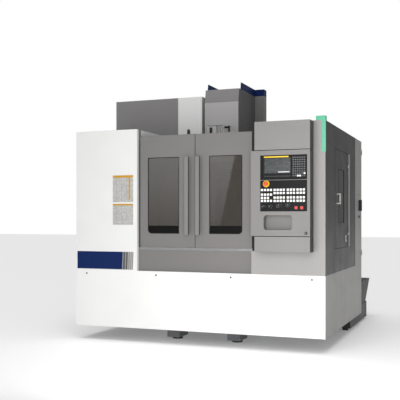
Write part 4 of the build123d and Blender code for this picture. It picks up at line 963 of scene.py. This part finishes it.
@dataclass
class Enclosure:
    """The sheet metal panels, the sill and the status lamp, with their printed plates."""

    screw_radius: float = 8.0
    socket_radius: float = 4.5
    band_rise: float = 10.0
    band_height: float = 165.0
    band_inset: float = 13.0
    stripes_width: float = 170.0
    slant: float = 8.0
    chart_left: float = -806.0
    chart_width: float = 212.0
    chart_low: float = 1298.0
    chart_height: float = 249.0
    lower_chart_drop: float = 16.0
    lower_chart_height: float = 195.0
    plate: float = 1.0
    lens: float = 1.5
    lens_width: float = 30.0
    lens_drop: float = 266.0
    lens_wrap: float = 16.0

    def panels(self) -> None:
        """Dress the outer sheets; the inside of the walls is a paler coat."""
        half = span_of("front_skirt", Axis.ACROSS)[1]
        rear = span_of("outer_walls", Axis.BACK)[1]

        def inward(face: Facing) -> bool:
            """Tell whether a wall's face looks into the machine."""
            toward_middle = face.x * face.normal.x < 0 and abs(face.x) > half - 40
            from_rear = face.normal.y < -0.5 and face.depth > rear - 40 and abs(face.x) < half - 40
            return toward_middle or from_rear

        def rail(face: Facing) -> bool:
            """Tell whether a face is on the light rail beside a service door."""
            return abs(face.x) > half + 0.5

        dress("front_skirt")
        dress("left_front_panel", PANEL_WHITE)
        dress("right_front_panel")
        dress("outer_walls", rules=((rail, LIGHT_GREY), (inward, INNER_GREY)))
        dress("lower_panels", rules=((inward, INNER_GREY),))
        dress("fascia")
        dress("sill_track", SILL_STEEL, edge=1.5)
        # The door frame takes the lightened copy of its dusk grey coat, painted light against the shade over
        # it.
        dress("door_frame", SHADE_LIFTED_RAIL_GREY, rules=((lambda face: face.depth < 60, SEAL_RUBBER_AND_SHADE),))
        dress("corner_lamp", edge=2.0)

    def lamp_lens(self) -> None:
        """Wrap a thin green lens round the corner where the status lamp runs down it."""
        right = span_of("corner_lamp", Axis.ACROSS)[1]
        high = span_of("right_front_panel", Axis.UP)[1]
        z = (high - self.lens_drop, high)
        lens = Shape().use(LAMP_GREEN)
        lens.box((right - self.lens_width, right + self.lens), (-self.lens, 0.2), z)
        lens.box((right - 0.2, right + self.lens), (0, self.lens_wrap), z)
        lens.made("corner_lamp_lens", "frame")

    def screws(self) -> None:
        """Set a countersunk socket screw at each of the skirt's four holes; each socket is a black disc,
        painted shade of its recess.
        """
        places = grid((-1085, -361.7, 361.7, 1085), -0.2, (span_of("front_skirt", Axis.UP)[1] - 34,))
        Repeats(Pattern.ROUND, (self.screw_radius, 1.2, 20), KEY_GREY, (90, 0, 0)).made(
            "skirt_screw_heads", "frame", places
        )
        # Painted shade: a black disc on each head stands for the shade inside its hex socket.
        Repeats(Pattern.ROUND, (self.socket_radius, 1.6, 6), KNOB_BLACK_AND_SOCKET_SHADE, (90, 0, 0)).made(
            "skirt_screw_socket_shade", "frame", places
        )

    def band(self) -> None:
        """Lay the navy band along the foot of the left panel, with a stepped grey end."""
        left, right = span_of("left_front_panel", Axis.ACROSS)
        low = span_of("left_front_panel", Axis.UP)[0] + self.band_rise
        high = low + self.band_height
        start = right - self.band_inset - self.stripes_width
        thin = (-0.4, 0.2)
        shape = Shape().use(NAVY)
        shape.box((left + self.band_inset, start), thin, (low, high))
        width = 30.0
        for number, finish in enumerate((NAVY, FLANK_GREY, FLANK_GREY, BEVEL_GREY, BEVEL_GREY, BEVEL_GREY)):
            end = start + width
            top_start = start + self.slant * (number > 0)
            shape.use(finish)
            shape.prism(
                Axis.BACK, [(start, low), (end, low), (end + self.slant, high), (top_start, high)], thin
            )
            start = end + 2.5
            width -= 3.5
        shape.made("decor_band", "frame")

    def charts(self) -> None:
        """Fix the two reference plates, each with an amber head and rows of plain marks."""
        x = (self.chart_left, self.chart_left + self.chart_width)
        lower_top = self.chart_low - self.lower_chart_drop
        raised = (-self.plate - 0.2, 0.2)
        plates = (
            (self.chart_low, self.chart_low + self.chart_height, 22.0),
            (lower_top - self.lower_chart_height, lower_top, 15.0),
        )
        for number, (low, high, head) in enumerate(plates):
            shape = Shape().use(PLATE_GREY)
            shape.box(x, (-self.plate, 0.2), (low, high - head))
            shape.use(AMBER).box(x, raised, (high - head, high))
            if number == 0:
                shape.box((x[1] - 46, x[1] - 30), raised, (low + 22, high - head - 6))
            shape.use(BEVEL_GREY)
            for column in range(1, 4):
                rule = x[0] + self.chart_width * column / 4 - 14
                shape.box((rule, rule + 1.6), raised, (low + 4, high - head - 3))
            shape.made(f"reference_plate_{number + 1}", "frame")
            corners = grid(grown(x, -6), -self.plate, grown((low, high), -6))
            Repeats(Pattern.ROUND, (2.2, 1.6, 12), SATIN_ALUMINIUM, (90, 0, 0)).made(
                f"reference_plate_{number + 1}_rivets", "frame", corners
            )

    def build(self) -> None:
        """Build the enclosure."""
        self.panels()
        self.screws()
        self.band()
        self.charts()
        self.lamp_lens()
        LOG.info("enclosure built")


@dataclass
class SlidingDoor:
    """One front door: its pan, pane, gasket, dark lower band and handle."""

    side: str = "left"
    window_low: float = 1007.0
    window_high: float = 1705.0
    window_lap: float = 25.0
    corner: float = 37.0
    gasket: float = 5.0
    band_high: float = 1079.0

    def window_x(self) -> Span:
        """Give the window opening's span across."""
        return grown(span_of(f"{self.side}_window", Axis.ACROSS), -self.window_lap)

    def corners(self, round_one: float, others: float) -> tuple[float, float, float, float]:
        """Give a window outline's corner radii; its lower outer corner is the round one."""
        if self.side == "left":
            return round_one, others, others, others
        return others, round_one, others, others

    def build(self) -> None:
        """Build the door."""
        body = f"{self.side}_sliding_door"
        door_x, door_depth, door_z = spans(f"{self.side}_door")
        face = door_depth[0]
        dress(f"{self.side}_door", edge=2.0)
        dress(f"{self.side}_window", SMOKED, 0.0)
        # Painted shade: the handle's two side faces and the faces that look back at the door are black,
        # standing for the shaded side of the handle and the shadow beside it.
        dress(
            f"{self.side}_handle",
            HANDLE_GREY,
            1.0,
            ((lambda seen: abs(seen.normal.x) > 0.7 or seen.normal.y > 0.7, SEAL_RUBBER_AND_SHADE),),
        )
        x = self.window_x()
        z = (self.window_low, self.window_high)

        def opening(by: float, round_one: float, others: float) -> Outline:
            """Outline the window opening, widened by a length at each edge."""
            return rounded(grown(x, by), grown(z, by), self.corners(round_one, others))

        outer = opening(1, self.corner, 2.0)
        inner = opening(-self.gasket, self.corner - self.gasket, 1.0)
        gasket = Shape().use(SEAL_RUBBER_AND_SHADE).band(Axis.BACK, outer, inner, (face - 1.2, face + 1.9))
        gasket.made(f"{self.side}_window_gasket", body)
        rear = span_of(f"{self.side}_window", Axis.BACK)[1]
        foot = rounded(x, (z[0], self.band_high), self.corners(self.corner, 0.1))
        band = Shape().use(BAND_BLACK).prism(Axis.BACK, foot, (rear - 6.5, rear - 6.1))
        band.made(f"{self.side}_window_band", body)
        outer, inner = opening(22, 30.0, 12.0), opening(6, self.corner, 4.0)
        clamp = Shape().use(PANEL_BLACK).band(Axis.BACK, outer, inner, (rear + 2.5, rear + 5.0))
        clamp.made(f"{self.side}_window_clamp", body)
        if self.side == "left":
            edge_x, top = door_x[1], door_z[1]
            strip = Shape().use(SEAL_RUBBER_AND_SHADE)
            strip.box((edge_x - 4.0, edge_x + 0.8), (face - 0.4, face + 24), (door_z[0] + 2, top - 1))
            strip.made("door_meeting_seal", body)
            key = Shape().use(KNOB_BLACK_AND_SOCKET_SHADE)
            key.box((-73, -47), (face + 6, face + 22), (top - 1.5, top + 36))
            key.box((-69, -51), (face + 8, face + 20), (top + 34, top + 46))
            key.made("door_interlock_key", body, edge=1.5)
        LOG.info("%s door built", self.side)


@dataclass
class ServiceDoor:
    """The hinged door on one side of the machine, with its black seal, whose black is also painted shade
    round the door; the right one has a window.
    """

    side: int = 1
    seam: float = 5.0
    rear: float = 1073.0
    window_lap: float = 25.0
    window_inset: float = 6.0

    def build(self) -> None:
        """Build the door."""
        name = "right" if self.side > 0 else "left"
        node, body = f"{name}_side_door", f"{name}_hinged_door"
        outer = span_of("front_skirt", Axis.ACROSS)[1]
        front = span_of(node, Axis.BACK)[0]
        low, high = span_of(node, Axis.UP)

        def fitting(face: Facing) -> bool:
            """Tell whether a face is on the handle or a hinge."""
            return abs(face.x) > outer + 0.5

        def inward(face: Facing) -> bool:
            """Tell whether a face looks into the machine."""
            return face.x * face.normal.x < 0

        dress(node, rules=((fitting, SATIN_ALUMINIUM), (inward, INNER_GREY)))
        # Black strips above, below and in front of the door: a rubber seal that also stands for the shade in
        # the gap round the door, painted shade.
        seam = Shape().use(SEAL_RUBBER_AND_SHADE)
        start, end = sorted((self.side * (outer - 1.0), self.side * (outer + 0.8)))
        for z in ((low - self.seam, low - 1.0), (high + 1.0, high + self.seam)):
            seam.box((start, end), (front - self.seam, self.rear), z)
        seam.box((start, end), (front - self.seam, front - 2.0), grown((low, high), self.seam))
        seam.made(f"{name}_service_door_seal", "frame")
        if self.side > 0:
            self.window(body, outer)
            self.latch(body, outer)
        LOG.info("%s service door built", name)

    def window(self, body: str, outer: float) -> None:
        """Dress the pane and add its gasket and dark foot."""
        dress("right_side_window", SIDE_SMOKED, 0.0)
        pane, depth, z = spans("right_side_window")
        opening_depth, opening_z = grown(depth, -self.window_lap), grown(z, -self.window_lap)
        opening = rounded(opening_depth, opening_z, 2)
        inner = rounded(grown(opening_depth, -self.window_inset), grown(opening_z, -self.window_inset), 1)
        gasket = Shape().use(SEAL_RUBBER_AND_SHADE).band(Axis.ACROSS, opening, inner, (outer - 1.8, outer + 1.2))
        gasket.made("service_window_gasket", body)
        foot = Shape().use(BAND_BLACK)
        foot_z = (opening_z[0] - 8, opening_z[0] + 52)
        foot.box((pane[0] - 2.3, pane[0] - 0.3), grown(opening_depth, 8), foot_z)
        foot.made("service_window_foot", body)

    def latch(self, body: str, outer: float) -> None:
        """Add the slam latch below the window."""
        latch = Shape().use(SATIN_ALUMINIUM)
        latch.box((outer + 0.1, outer + 9), (918, 944), (923, 987))
        button = [(0, outer + 11), (7, outer + 11), (8, outer + 9)]
        latch.use(KNOB_BLACK_AND_SOCKET_SHADE).lathe(Axis.ACROSS, (931, 955), button)
        latch.made("service_door_latch", body, edge=1.5)


@dataclass
class Console:
    """The swivelling control console with its screen, keys, knobs and hand tray."""

    bezel: float = 6.0
    key: float = 18.0
    key_pitch: float = 26.3
    keypad_key: float = 14.0
    keypad_pitch: float = 19.0
    key_rise: float = 2.0

    def face(self) -> float:
        """Give the depth of the console's front plates, behind their raised keys."""
        return span_of("display_unit", Axis.BACK)[0] + self.key_rise

    def cabinet(self) -> None:
        """Dress the body and the fixed boxes; their right sides are charcoal."""
        right = span_of("console_body", Axis.ACROSS)[1]

        def side(face: Facing) -> bool:
            """Tell whether a face is on a box's right or left side."""
            return abs(face.normal.x) > 0.9 and (face.x > right - 4 or face.x < right - 470)

        dress("console_body", CONSOLE_GREY, 2.0, ((side, CHARCOAL),))
        dress("console_boxes", BOX_GREY, 2.0, ((side, CHARCOAL),))

    def display(self) -> None:
        """Build the display unit: bezel, screen, soft keys and a keypad."""
        x, depth, z = spans("display_unit")
        face = self.face()
        screen_x = (x[0] + 38, x[0] + 260)
        screen_z = (z[0] + 57, z[0] + 181)
        unit = Shape().use(PANEL_BLACK)
        outer = rounded(x, z, 4)
        hole = rounded(screen_x, screen_z, 3)
        unit.band(Axis.BACK, outer, hole, (face, face + 4))
        unit.prism(Axis.BACK, outer, (face + 4, depth[1]))
        unit.use(KNOB_BLACK_AND_SOCKET_SHADE)
        trim_outer = rounded(grown(screen_x, self.bezel), grown(screen_z, self.bezel), 5)
        unit.band(Axis.BACK, trim_outer, hole, (face - 1.2, face))
        unit.use(SIGNAL_YELLOW)
        unit.box((screen_x[0] - 5, screen_x[1] - 14), (face - 0.8, face), (z[1] - 21, z[1] - 9))
        unit.made("display_unit_dressed", "console", ("display_unit",), edge=0.8)
        screen = Shape().use(SCREEN_ROWS)
        screen.box(grown(screen_x, 1), (face + 2.6, face + 3.9), grown(screen_z, 1))
        left, foot = screen_x[0], screen_z[0]
        line = (face + 2.3, face + 3)
        screen.use(KEY_GREY)
        screen.box((left + 128, left + 130), line, (foot + 26, screen_z[1] - 12))
        screen.box(grown(screen_x, -2), line, (foot + 24, foot + 26))
        screen.use(KEY_WHITE)
        screen.box((left + 118, screen_x[1] - 6), (face + 2.2, face + 3), (foot + 5, foot + 11))
        screen.made("screen", "console")
        soft = grid(steps(grown(screen_x, -6), 12), face - 1.2, (z[0] + 30,))
        Repeats(Pattern.BLOCK, (13, 3, 10), KEY_GREY).made("soft_keys", "console", soft)
        keypad_left = screen_x[1] + 28
        keypad = [
            (keypad_left + column * self.keypad_pitch, face - 1.2, z[1] - 24 - row * self.keypad_pitch)
            for row in range(9)
            for column in range(6)
        ]
        white = {(2, 8), (3, 8), (5, 7)}
        dark = [spot for i, spot in enumerate(keypad) if (i % 6, i // 6) not in white]
        light = [spot for i, spot in enumerate(keypad) if (i % 6, i // 6) in white]
        size = (self.keypad_key, 4, self.keypad_key)
        Repeats(Pattern.BLOCK, size, KEY_GREY).made("keypad_keys", "console", dark)
        Repeats(Pattern.BLOCK, size, KEY_WHITE).made("keypad_white_keys", "console", light)
        marks = [(a - 2, b - 2.1, c + 1) for a, b, c in dark]
        Repeats(Pattern.BLOCK, (5, 0.4, 2.2), SATIN_ALUMINIUM).made("keypad_marks", "console", marks)

    def panel(self) -> None:
        """Build the operator panel: plate, white keys and lamps."""
        x, depth, z = spans("operator_panel")
        face = self.face()
        plate = Shape().use(PANEL_BLACK)
        plate.prism(Axis.BACK, rounded(x, z, 4), (face, depth[1]))
        plate.made("operator_panel_dressed", "console", ("operator_panel",), edge=0.8)
        low = z[0]
        rows = [(16, height, columns) for height, columns in ((181, 4), (142, 4), (114, 3), (89, 4))]
        for inset, columns in ((127, 4), (240.5, 3), (324, 3)):
            rows += [(inset, height, columns) for height in (181, 154, 116, 88)]
        keys = [
            (x[0] + inset + step * self.key_pitch, face - 1.5, low + height)
            for inset, height, columns in rows
            for step in range(columns)
        ]
        Repeats(Pattern.BLOCK, (self.key, 4, self.key), KEY_WHITE).made("white_keys", "console", keys)
        lamps = [(a, b + 1, c + 13) for a, b, c in keys if c - low < 150]
        Repeats(Pattern.ROUND, (1.6, 2, 10), SIGNAL_YELLOW, (90, 0, 0)).made("key_lamps", "console", lamps)

    def controls(self) -> None:
        """Build the emergency stop, the buttons, the knobs and their scales."""
        panel_face = self.face()
        stop_x, stop_z = middle_of("e_stop")
        front = span_of("e_stop", Axis.BACK)[0]
        ring = Shape().use(SIGNAL_YELLOW)
        ring.lathe(
            Axis.BACK,
            (stop_x, stop_z),
            [(28.5, panel_face), (28.5, panel_face - 4), (27, panel_face - 6), (9, panel_face - 6)],
            40,
        )
        ring.made("stop_ring", "console")
        stop = Shape().use(SIGNAL_RED)
        stop.lathe(
            Axis.BACK,
            (stop_x, stop_z),
            [
                (0, front), (9, front + 0.4), (15, front + 2), (18.6, front + 5), (20, front + 9),
                (19.5, front + 12), (14, front + 14.5), (8, front + 15.5), (5, front + 16),
                (5, panel_face + 18),
            ],
            40,
        )
        stop.made("stop_mushroom", "stop_button", ("e_stop",))
        for name, body in (("cycle_start_button", "cycle_start"), ("feed_hold_button", "feed_hold")):
            x, z = middle_of(name)
            face = span_of(name, Axis.BACK)[0]
            button = Shape().use(BUTTON_RED)
            button.prism(Axis.BACK, square(x, z, 11, 2.5), (face, face + 7))
            button.made(f"{name}_cap", body, (name,), edge=0.8)
            bezel = Shape().use(KEY_GREY)
            bezel.band(
                Axis.BACK, square(x, z, 15, 3), square(x, z, 12, 2.5), (panel_face - 2.4, panel_face)
            )
            bezel.made(f"{name}_bezel", "console")
        for name, body in (
            ("selector_knob_1", "selector_1"), ("selector_knob_2", "selector_2"),
            ("override_dial_1", "dial_1"), ("override_dial_2", "dial_2"),
        ):
            self.knob(name, body, panel_face)

    def knob(self, node: str, body: str, panel_face: float) -> None:
        """Build one knob with a skirt, a grip bar, a pointer line and its scale.

        Args:
            node: The CAD knob that it stands for.
            body: The body that turns.
            panel_face: The depth of the panel's face.
        """
        x, z = middle_of(node)
        across, depth, _ = spans(node)
        front = depth[0]
        radius = (across[1] - across[0]) / 2
        knob = Shape().use(KNOB_BLACK_AND_SOCKET_SHADE)
        skirt, foot = front + 9, panel_face - 0.4
        profile = [(0, skirt), (radius * 0.9, skirt), (radius, skirt + 1.5), (radius, foot), (0, foot)]
        knob.lathe(Axis.BACK, (x, z), profile, 28)
        grip = rounded(around(x, radius * 0.26), around(z, radius * 0.86), 2)
        knob.prism(Axis.BACK, grip, (front, skirt + 0.5))
        knob.use(KEY_WHITE)
        knob.box((x - 0.8, x + 0.8), (front - 0.3, front + 1), (z + radius * 0.25, z + radius * 0.82))
        knob.made(f"{node}_dressed", body, (node,), edge=0.6)
        reach = radius + 5
        turns = [math.radians(-120 + 24 * step) for step in range(11)]
        ticks = [(x + reach * math.sin(turn), panel_face - 0.2, z + reach * math.cos(turn)) for turn in turns]
        Repeats(Pattern.BLOCK, (1.4, 0.6, 1.4), KEY_WHITE).made(f"{node}_scale", "console", ticks)

    def lock(self) -> None:
        """Add the key lock at the foot of the console."""
        across, depth, height = spans("console_body")
        face = depth[0]
        x, z = across[1] - 34, height[0] + 26
        lock = Shape().use(KNOB_BLACK_AND_SOCKET_SHADE)
        lock.lathe(Axis.BACK, (x, z), [(0, face - 5), (9, face - 5), (11.5, face - 3), (11.5, face + 1)], 24)
        lock.use(SATIN_ALUMINIUM).box(around(x, 0.9), (face - 5.3, face - 4), around(z, 5))
        lock.made("console_lock", "console")

    def build(self) -> None:
        """Build the console."""
        self.cabinet()
        self.display()
        self.panel()
        self.controls()
        self.lock()
        LOG.info("console built")


@dataclass
class Cabinet:
    """The electrical cabinet with its door, main switch and small fittings."""

    plate_half_width: float = 35.0
    plate_half_height: float = 58.0

    def build(self) -> None:
        """Build the cabinet."""
        outer = span_of("front_skirt", Axis.ACROSS)[1]

        def knuckle(face: Facing) -> bool:
            """Tell whether a face is on a hinge."""
            return face.x > outer + 0.3

        dress("electrical_cabinet", rules=((knuckle, SATIN_ALUMINIUM),))
        dress("cabinet_door", rules=((knuckle, SATIN_ALUMINIUM),))
        _, handle_depth, handle_z = spans("isolator_handle")
        depth, z = middle(handle_depth), middle(handle_z)
        outline = rounded(around(depth, self.plate_half_width), around(z, self.plate_half_height), 6)
        plate = Shape().use(LIGHT_GREY).prism(Axis.ACROSS, outline, (outer + 0.05, outer + 1.4))
        plate.made("switch_plate", "frame", edge=0.4)
        dress("isolator_handle", KNOB_BLACK_AND_SOCKET_SHADE, 2.0)
        knob = Shape()
        for finish, rise, radius, rim, out, shoulder in (
            (KEY_GREY, -118, 11, 13, 12, 9),
            (BRASS, 116, 8, 9, 7, 5),
        ):
            profile = [(0, out), (radius, out), (rim, shoulder), (rim, 0.1)]
            stood = [(width, outer + reach) for width, reach in profile]
            knob.use(finish).lathe(Axis.ACROSS, (depth, z + rise), stood, 24)
        knob.made("cabinet_fittings", "frame")
        _, cabinet_depth, cabinet_z = spans("electrical_cabinet")
        seam = Shape().use(SEAL_RUBBER_AND_SHADE)
        seam.box((outer - 0.5, outer + 0.4), around(cabinet_depth[0], 1.5), cabinet_z)
        seam.made("cabinet_seam", "frame")
        self.vents()
        LOG.info("cabinet built")

    def vents(self) -> None:
        """Add the louvres and the latch on the rear door."""
        x, depth, height = spans("cabinet_door")
        rear = depth[1]
        for number, z in enumerate((height[0] + 190, height[1] - 330)):
            rows = [(middle(x), rear + 1.0, z + 16 * row) for row in range(9)]
            Repeats(Pattern.BLOCK, (220, 6, 7), SIDE_GREY, (25, 0, 0)).made(
                f"vent_louvres_{number + 1}", "cabinet_panel", rows
            )
        latch = Shape().use(KNOB_BLACK_AND_SOCKET_SHADE)
        latch.box((x[0] + 26, x[0] + 50), (rear + 0.1, rear + 9), around(middle(height), 60))
        latch.made("cabinet_latch", "cabinet_panel", edge=2.0)


@dataclass
class Roof:
    """The hood over the spindle motor, its trim, and the tool magazine's covers."""

    narrow_half: float = 182.5
    wide_length: float = 90.0

    def build(self) -> None:
        """Build what stands above the enclosure."""
        wide_start = span_of("hood", Axis.BACK)[1] - self.wide_length

        def bevel(face: Facing) -> bool:
            """Tell whether a face is the slope at the top of the hood's front."""
            return face.normal.y < -0.5 and face.normal.z > 0.02

        def flank(face: Facing) -> bool:
            """Tell whether a face is a side of the narrow part."""
            return abs(face.normal.x) > 0.9 and abs(face.x) < self.narrow_half

        def wide(face: Facing) -> bool:
            """Tell whether a face is on the wide part."""
            return abs(face.x) > self.narrow_half or face.depth > wide_start

        dress("hood", HOOD_GREY, rules=((bevel, BEVEL_GREY), (flank, FLANK_GREY), (wide, WIDE_GREY)))
        dress("hood_trim", edge=1.5)
        dress("magazine_cover")
        dress("magazine_panel")
        LOG.info("roof built")


WORKS: tuple[tuple[str, Finish | None, float], ...] = (
    ("base_casting", None, 3.0),
    ("column", None, 3.0),
    ("saddle", None, 3.0),
    ("magazine_bracket", None, 3.0),
    ("table", None, 1.0),
    ("spindle_head", None, 4.0),
    ("spindle_motor", None, 2.0),
    ("booster", None, 1.5),
    ("axis_motors", None, 2.0),
    ("x_axis_motor", None, 2.0),
    ("linear_rails", GROUND_Z, 0.6),
    ("saddle_guides", GROUND_X, 0.8),
    ("middle_way_cover", None, 0.8),
    ("splash_liner", None, 0.8),
    ("spindle", GROUND_Z, 0.6),
    ("tool_holder", GROUND_Z, 0.4),
    ("tool_disc", None, 0.8),
    ("change_arm", None, 1.0),
    ("x_ball_screw", GROUND_X, 0.4),
    ("y_ball_screw", GROUND_Y, 0.4),
    ("z_ball_screw", GROUND_Z, 0.4),
)


@dataclass
class Works:
    """The machine inside: base, column, slides, table, head, spindle and magazine."""

    fin_count: int = 18
    liner_side: float = -550.0

    def build(self) -> None:
        """Build the works."""

        def white_wall(face: Facing) -> bool:
            """Tell whether a face is the liner's left wall, seen from inside."""
            return face.normal.x > 0.9 and face.x < self.liner_side

        for node, finish, edge in WORKS:
            rules = ((white_wall, PANEL_WHITE),) if node == "splash_liner" else ()
            dress(node, finish, edge, rules)
        self.motor_fins()
        self.fittings()
        LOG.info("works built")

    def fittings(self) -> None:
        """Add the air fittings on the booster: a filter bowl, an elbow and its brass nut."""
        (left, right), (front, _), (_, top) = spans("booster")
        bowl = [(5, top - 82), (11, top - 78), (12.5, top - 36), (7, top - 30), (7, top - 22)]
        arm = [(12, right - 1), (12, right + 22), (9, right + 24), (9, right + 44)]
        drop = [(9, top - 66), (9, top - 18), (12, top - 14), (12, top - 8)]
        elbow = (right + 44, front + 40)
        black = Shape().use(KNOB_BLACK_AND_SOCKET_SHADE)
        black.lathe(Axis.UP, (left + 42, front - 13), bowl, 20)
        black.box((left + 30, left + 54), (front - 22, front + 1), (top - 36, top - 24))
        black.lathe(Axis.ACROSS, (elbow[1], top - 20), arm, 20)
        black.lathe(Axis.UP, elbow, drop, 20)
        black.box((left + 4, right - 4), (front - 2, front + 1), (top - 8, top - 3))
        black.use(BRASS).lathe(Axis.UP, elbow, [(11, top - 74), (11, top - 66)], 16)
        black.made("booster_fittings", BODY_OF["booster"], edge=0.8)

    def motor_fins(self) -> None:
        """Add the cooling fins round the spindle motor."""
        x, depth, (low, high) = spans("spindle_motor")
        size = (x[1] - x[0] - 8, depth[1] - depth[0] - 8, 4)
        places = [(middle(x), middle(depth), z) for z in steps((low + 40, high - 70), self.fin_count)]
        Repeats(Pattern.BLOCK, size, MOTOR_ENAMEL).made("motor_fins", "head", places)


@dataclass
class Underside:
    """The feet, the coolant tank and the chip chute."""

    edge: float = 1.5

    def build(self) -> None:
        """Build what stands on the floor."""
        for node in ("levelling_feet", "coolant_tank", "chip_chute"):
            dress(node, edge=self.edge)
        LOG.info("underside built")


@dataclass
class Studio:
    """The floor, the soft light and the camera at the photo's viewpoint."""

    eye_x: float = 2463.2
    eye_depth: float = -6116.4
    eye_height: float = 1138.0
    azimuth: float = 21.359
    lens: float = 66.11
    rise: float = 0.0481
    reach: float = 40.0
    room_light: float = 0.30
    ceiling_light: float = 0.42

    def floor(self) -> None:
        """Lay a pale, matt floor."""
        data = bpy.data.meshes.new("floor")
        corner = self.reach
        corners = [(-corner, -corner, 0), (corner, -corner, 0), (corner, corner, 0), (-corner, corner, 0)]
        data.from_pydata(corners, [], [(0, 1, 2, 3)])
        data.materials.append(PaintedFloor("pale_floor", "#F4F4F4").material())
        placed("floor", data)

    def sky(self) -> None:
        """Set an even white room; its walls are brighter to the eye than the light they give."""
        world = bpy.data.worlds.new("studio")
        bpy.context.scene.world = world
        world.use_nodes = True
        tree = world.node_tree
        tree.nodes.clear()
        white = linear("#FFFFFF")
        light, seen = (
            add_node(tree, "ShaderNodeBackground", values={"Color": white, "Strength": strength})
            for strength in (self.room_light, 1.0)
        )
        ray = add_node(tree, "ShaderNodeLightPath")
        both = add_node(
            tree,
            "ShaderNodeMixShader",
            links={0: ray.outputs["Is Camera Ray"], 1: light.outputs[0], 2: seen.outputs[0]},
        )
        add_node(tree, "ShaderNodeOutputWorld", links={"Surface": both.outputs[0]})

    def softbox(self, name: str, place: Vector, target: Vector, size: Span, glow: float) -> None:
        """Hang one soft box.

        Args:
            name: The light's name.
            place: Where it hangs, in metres.
            target: What it points at.
            size: The width and height of its face, in metres.
            glow: How bright its face is, where the white room is about 1.
        """
        data = bpy.data.lights.new(name, "AREA")
        data.shape = "RECTANGLE"
        data.size, data.size_y = size
        data.energy = glow * size[0] * size[1] * math.pi
        lamp = placed(name, data)
        lamp.location = place
        lamp.rotation_euler = (target - place).to_track_quat("-Z", "Y").to_euler()
        lamp.visible_camera = False

    def card(self) -> None:
        """Stand a glowing card where the door windows mirror it, with a leaning right edge."""
        corners = ((-3400, 900), (-1954, 900), (-1442, 3200), (-3400, 3200))
        data = bpy.data.meshes.new("window_card")
        data.from_pydata([at(x, -6000, z) for x, z in corners], [], [(0, 1, 2, 3)])
        data.materials.append(GlowSheet("glowing_card", "#FFFFFF").material())
        piece = placed("window_card", data)
        piece.visible_camera = False

    def overhead(self) -> None:
        """Add the broad ceiling light, which falls from the front and above."""
        data = bpy.data.lights.new("ceiling", "SUN")
        data.energy = self.ceiling_light * math.pi
        data.angle = math.radians(50)
        lamp = placed("ceiling", data)
        lamp.rotation_euler = (math.radians(14), 0.0, 0.0)

    def camera(self) -> None:
        """Set the camera where the photo was taken from."""
        data = bpy.data.cameras.new("camera")
        data.lens = self.lens
        data.sensor_width = 36.0
        data.shift_y = self.rise
        data.clip_end = 200.0
        camera = placed("camera", data)
        camera.location = at(self.eye_x, self.eye_depth, self.eye_height)
        camera.rotation_euler = (math.pi / 2, 0.0, math.radians(self.azimuth))
        bpy.context.scene.camera = camera

    def build(self) -> None:
        """Set up the studio."""
        self.floor()
        self.sky()
        self.overhead()
        self.softbox("front_softbox", at(1000, -2200, 1250), at(1000, 0, 1150), (1.6, 2.2), 3.5)
        self.card()
        self.camera()
        view = bpy.context.scene.view_settings
        view.view_transform = "Standard"
        view.look = "None"
        LOG.info("studio set")


def main() -> None:
    """Build every sub-assembly in order."""
    logging.basicConfig(level=logging.INFO)
    Enclosure().build()
    SlidingDoor("left").build()
    SlidingDoor("right").build()
    ServiceDoor(1).build()
    ServiceDoor(-1).build()
    Console().build()
    Cabinet().build()
    Roof().build()
    Works().build()
    Underside().build()
    Studio().build()


if __name__ == "__main__":
    main()
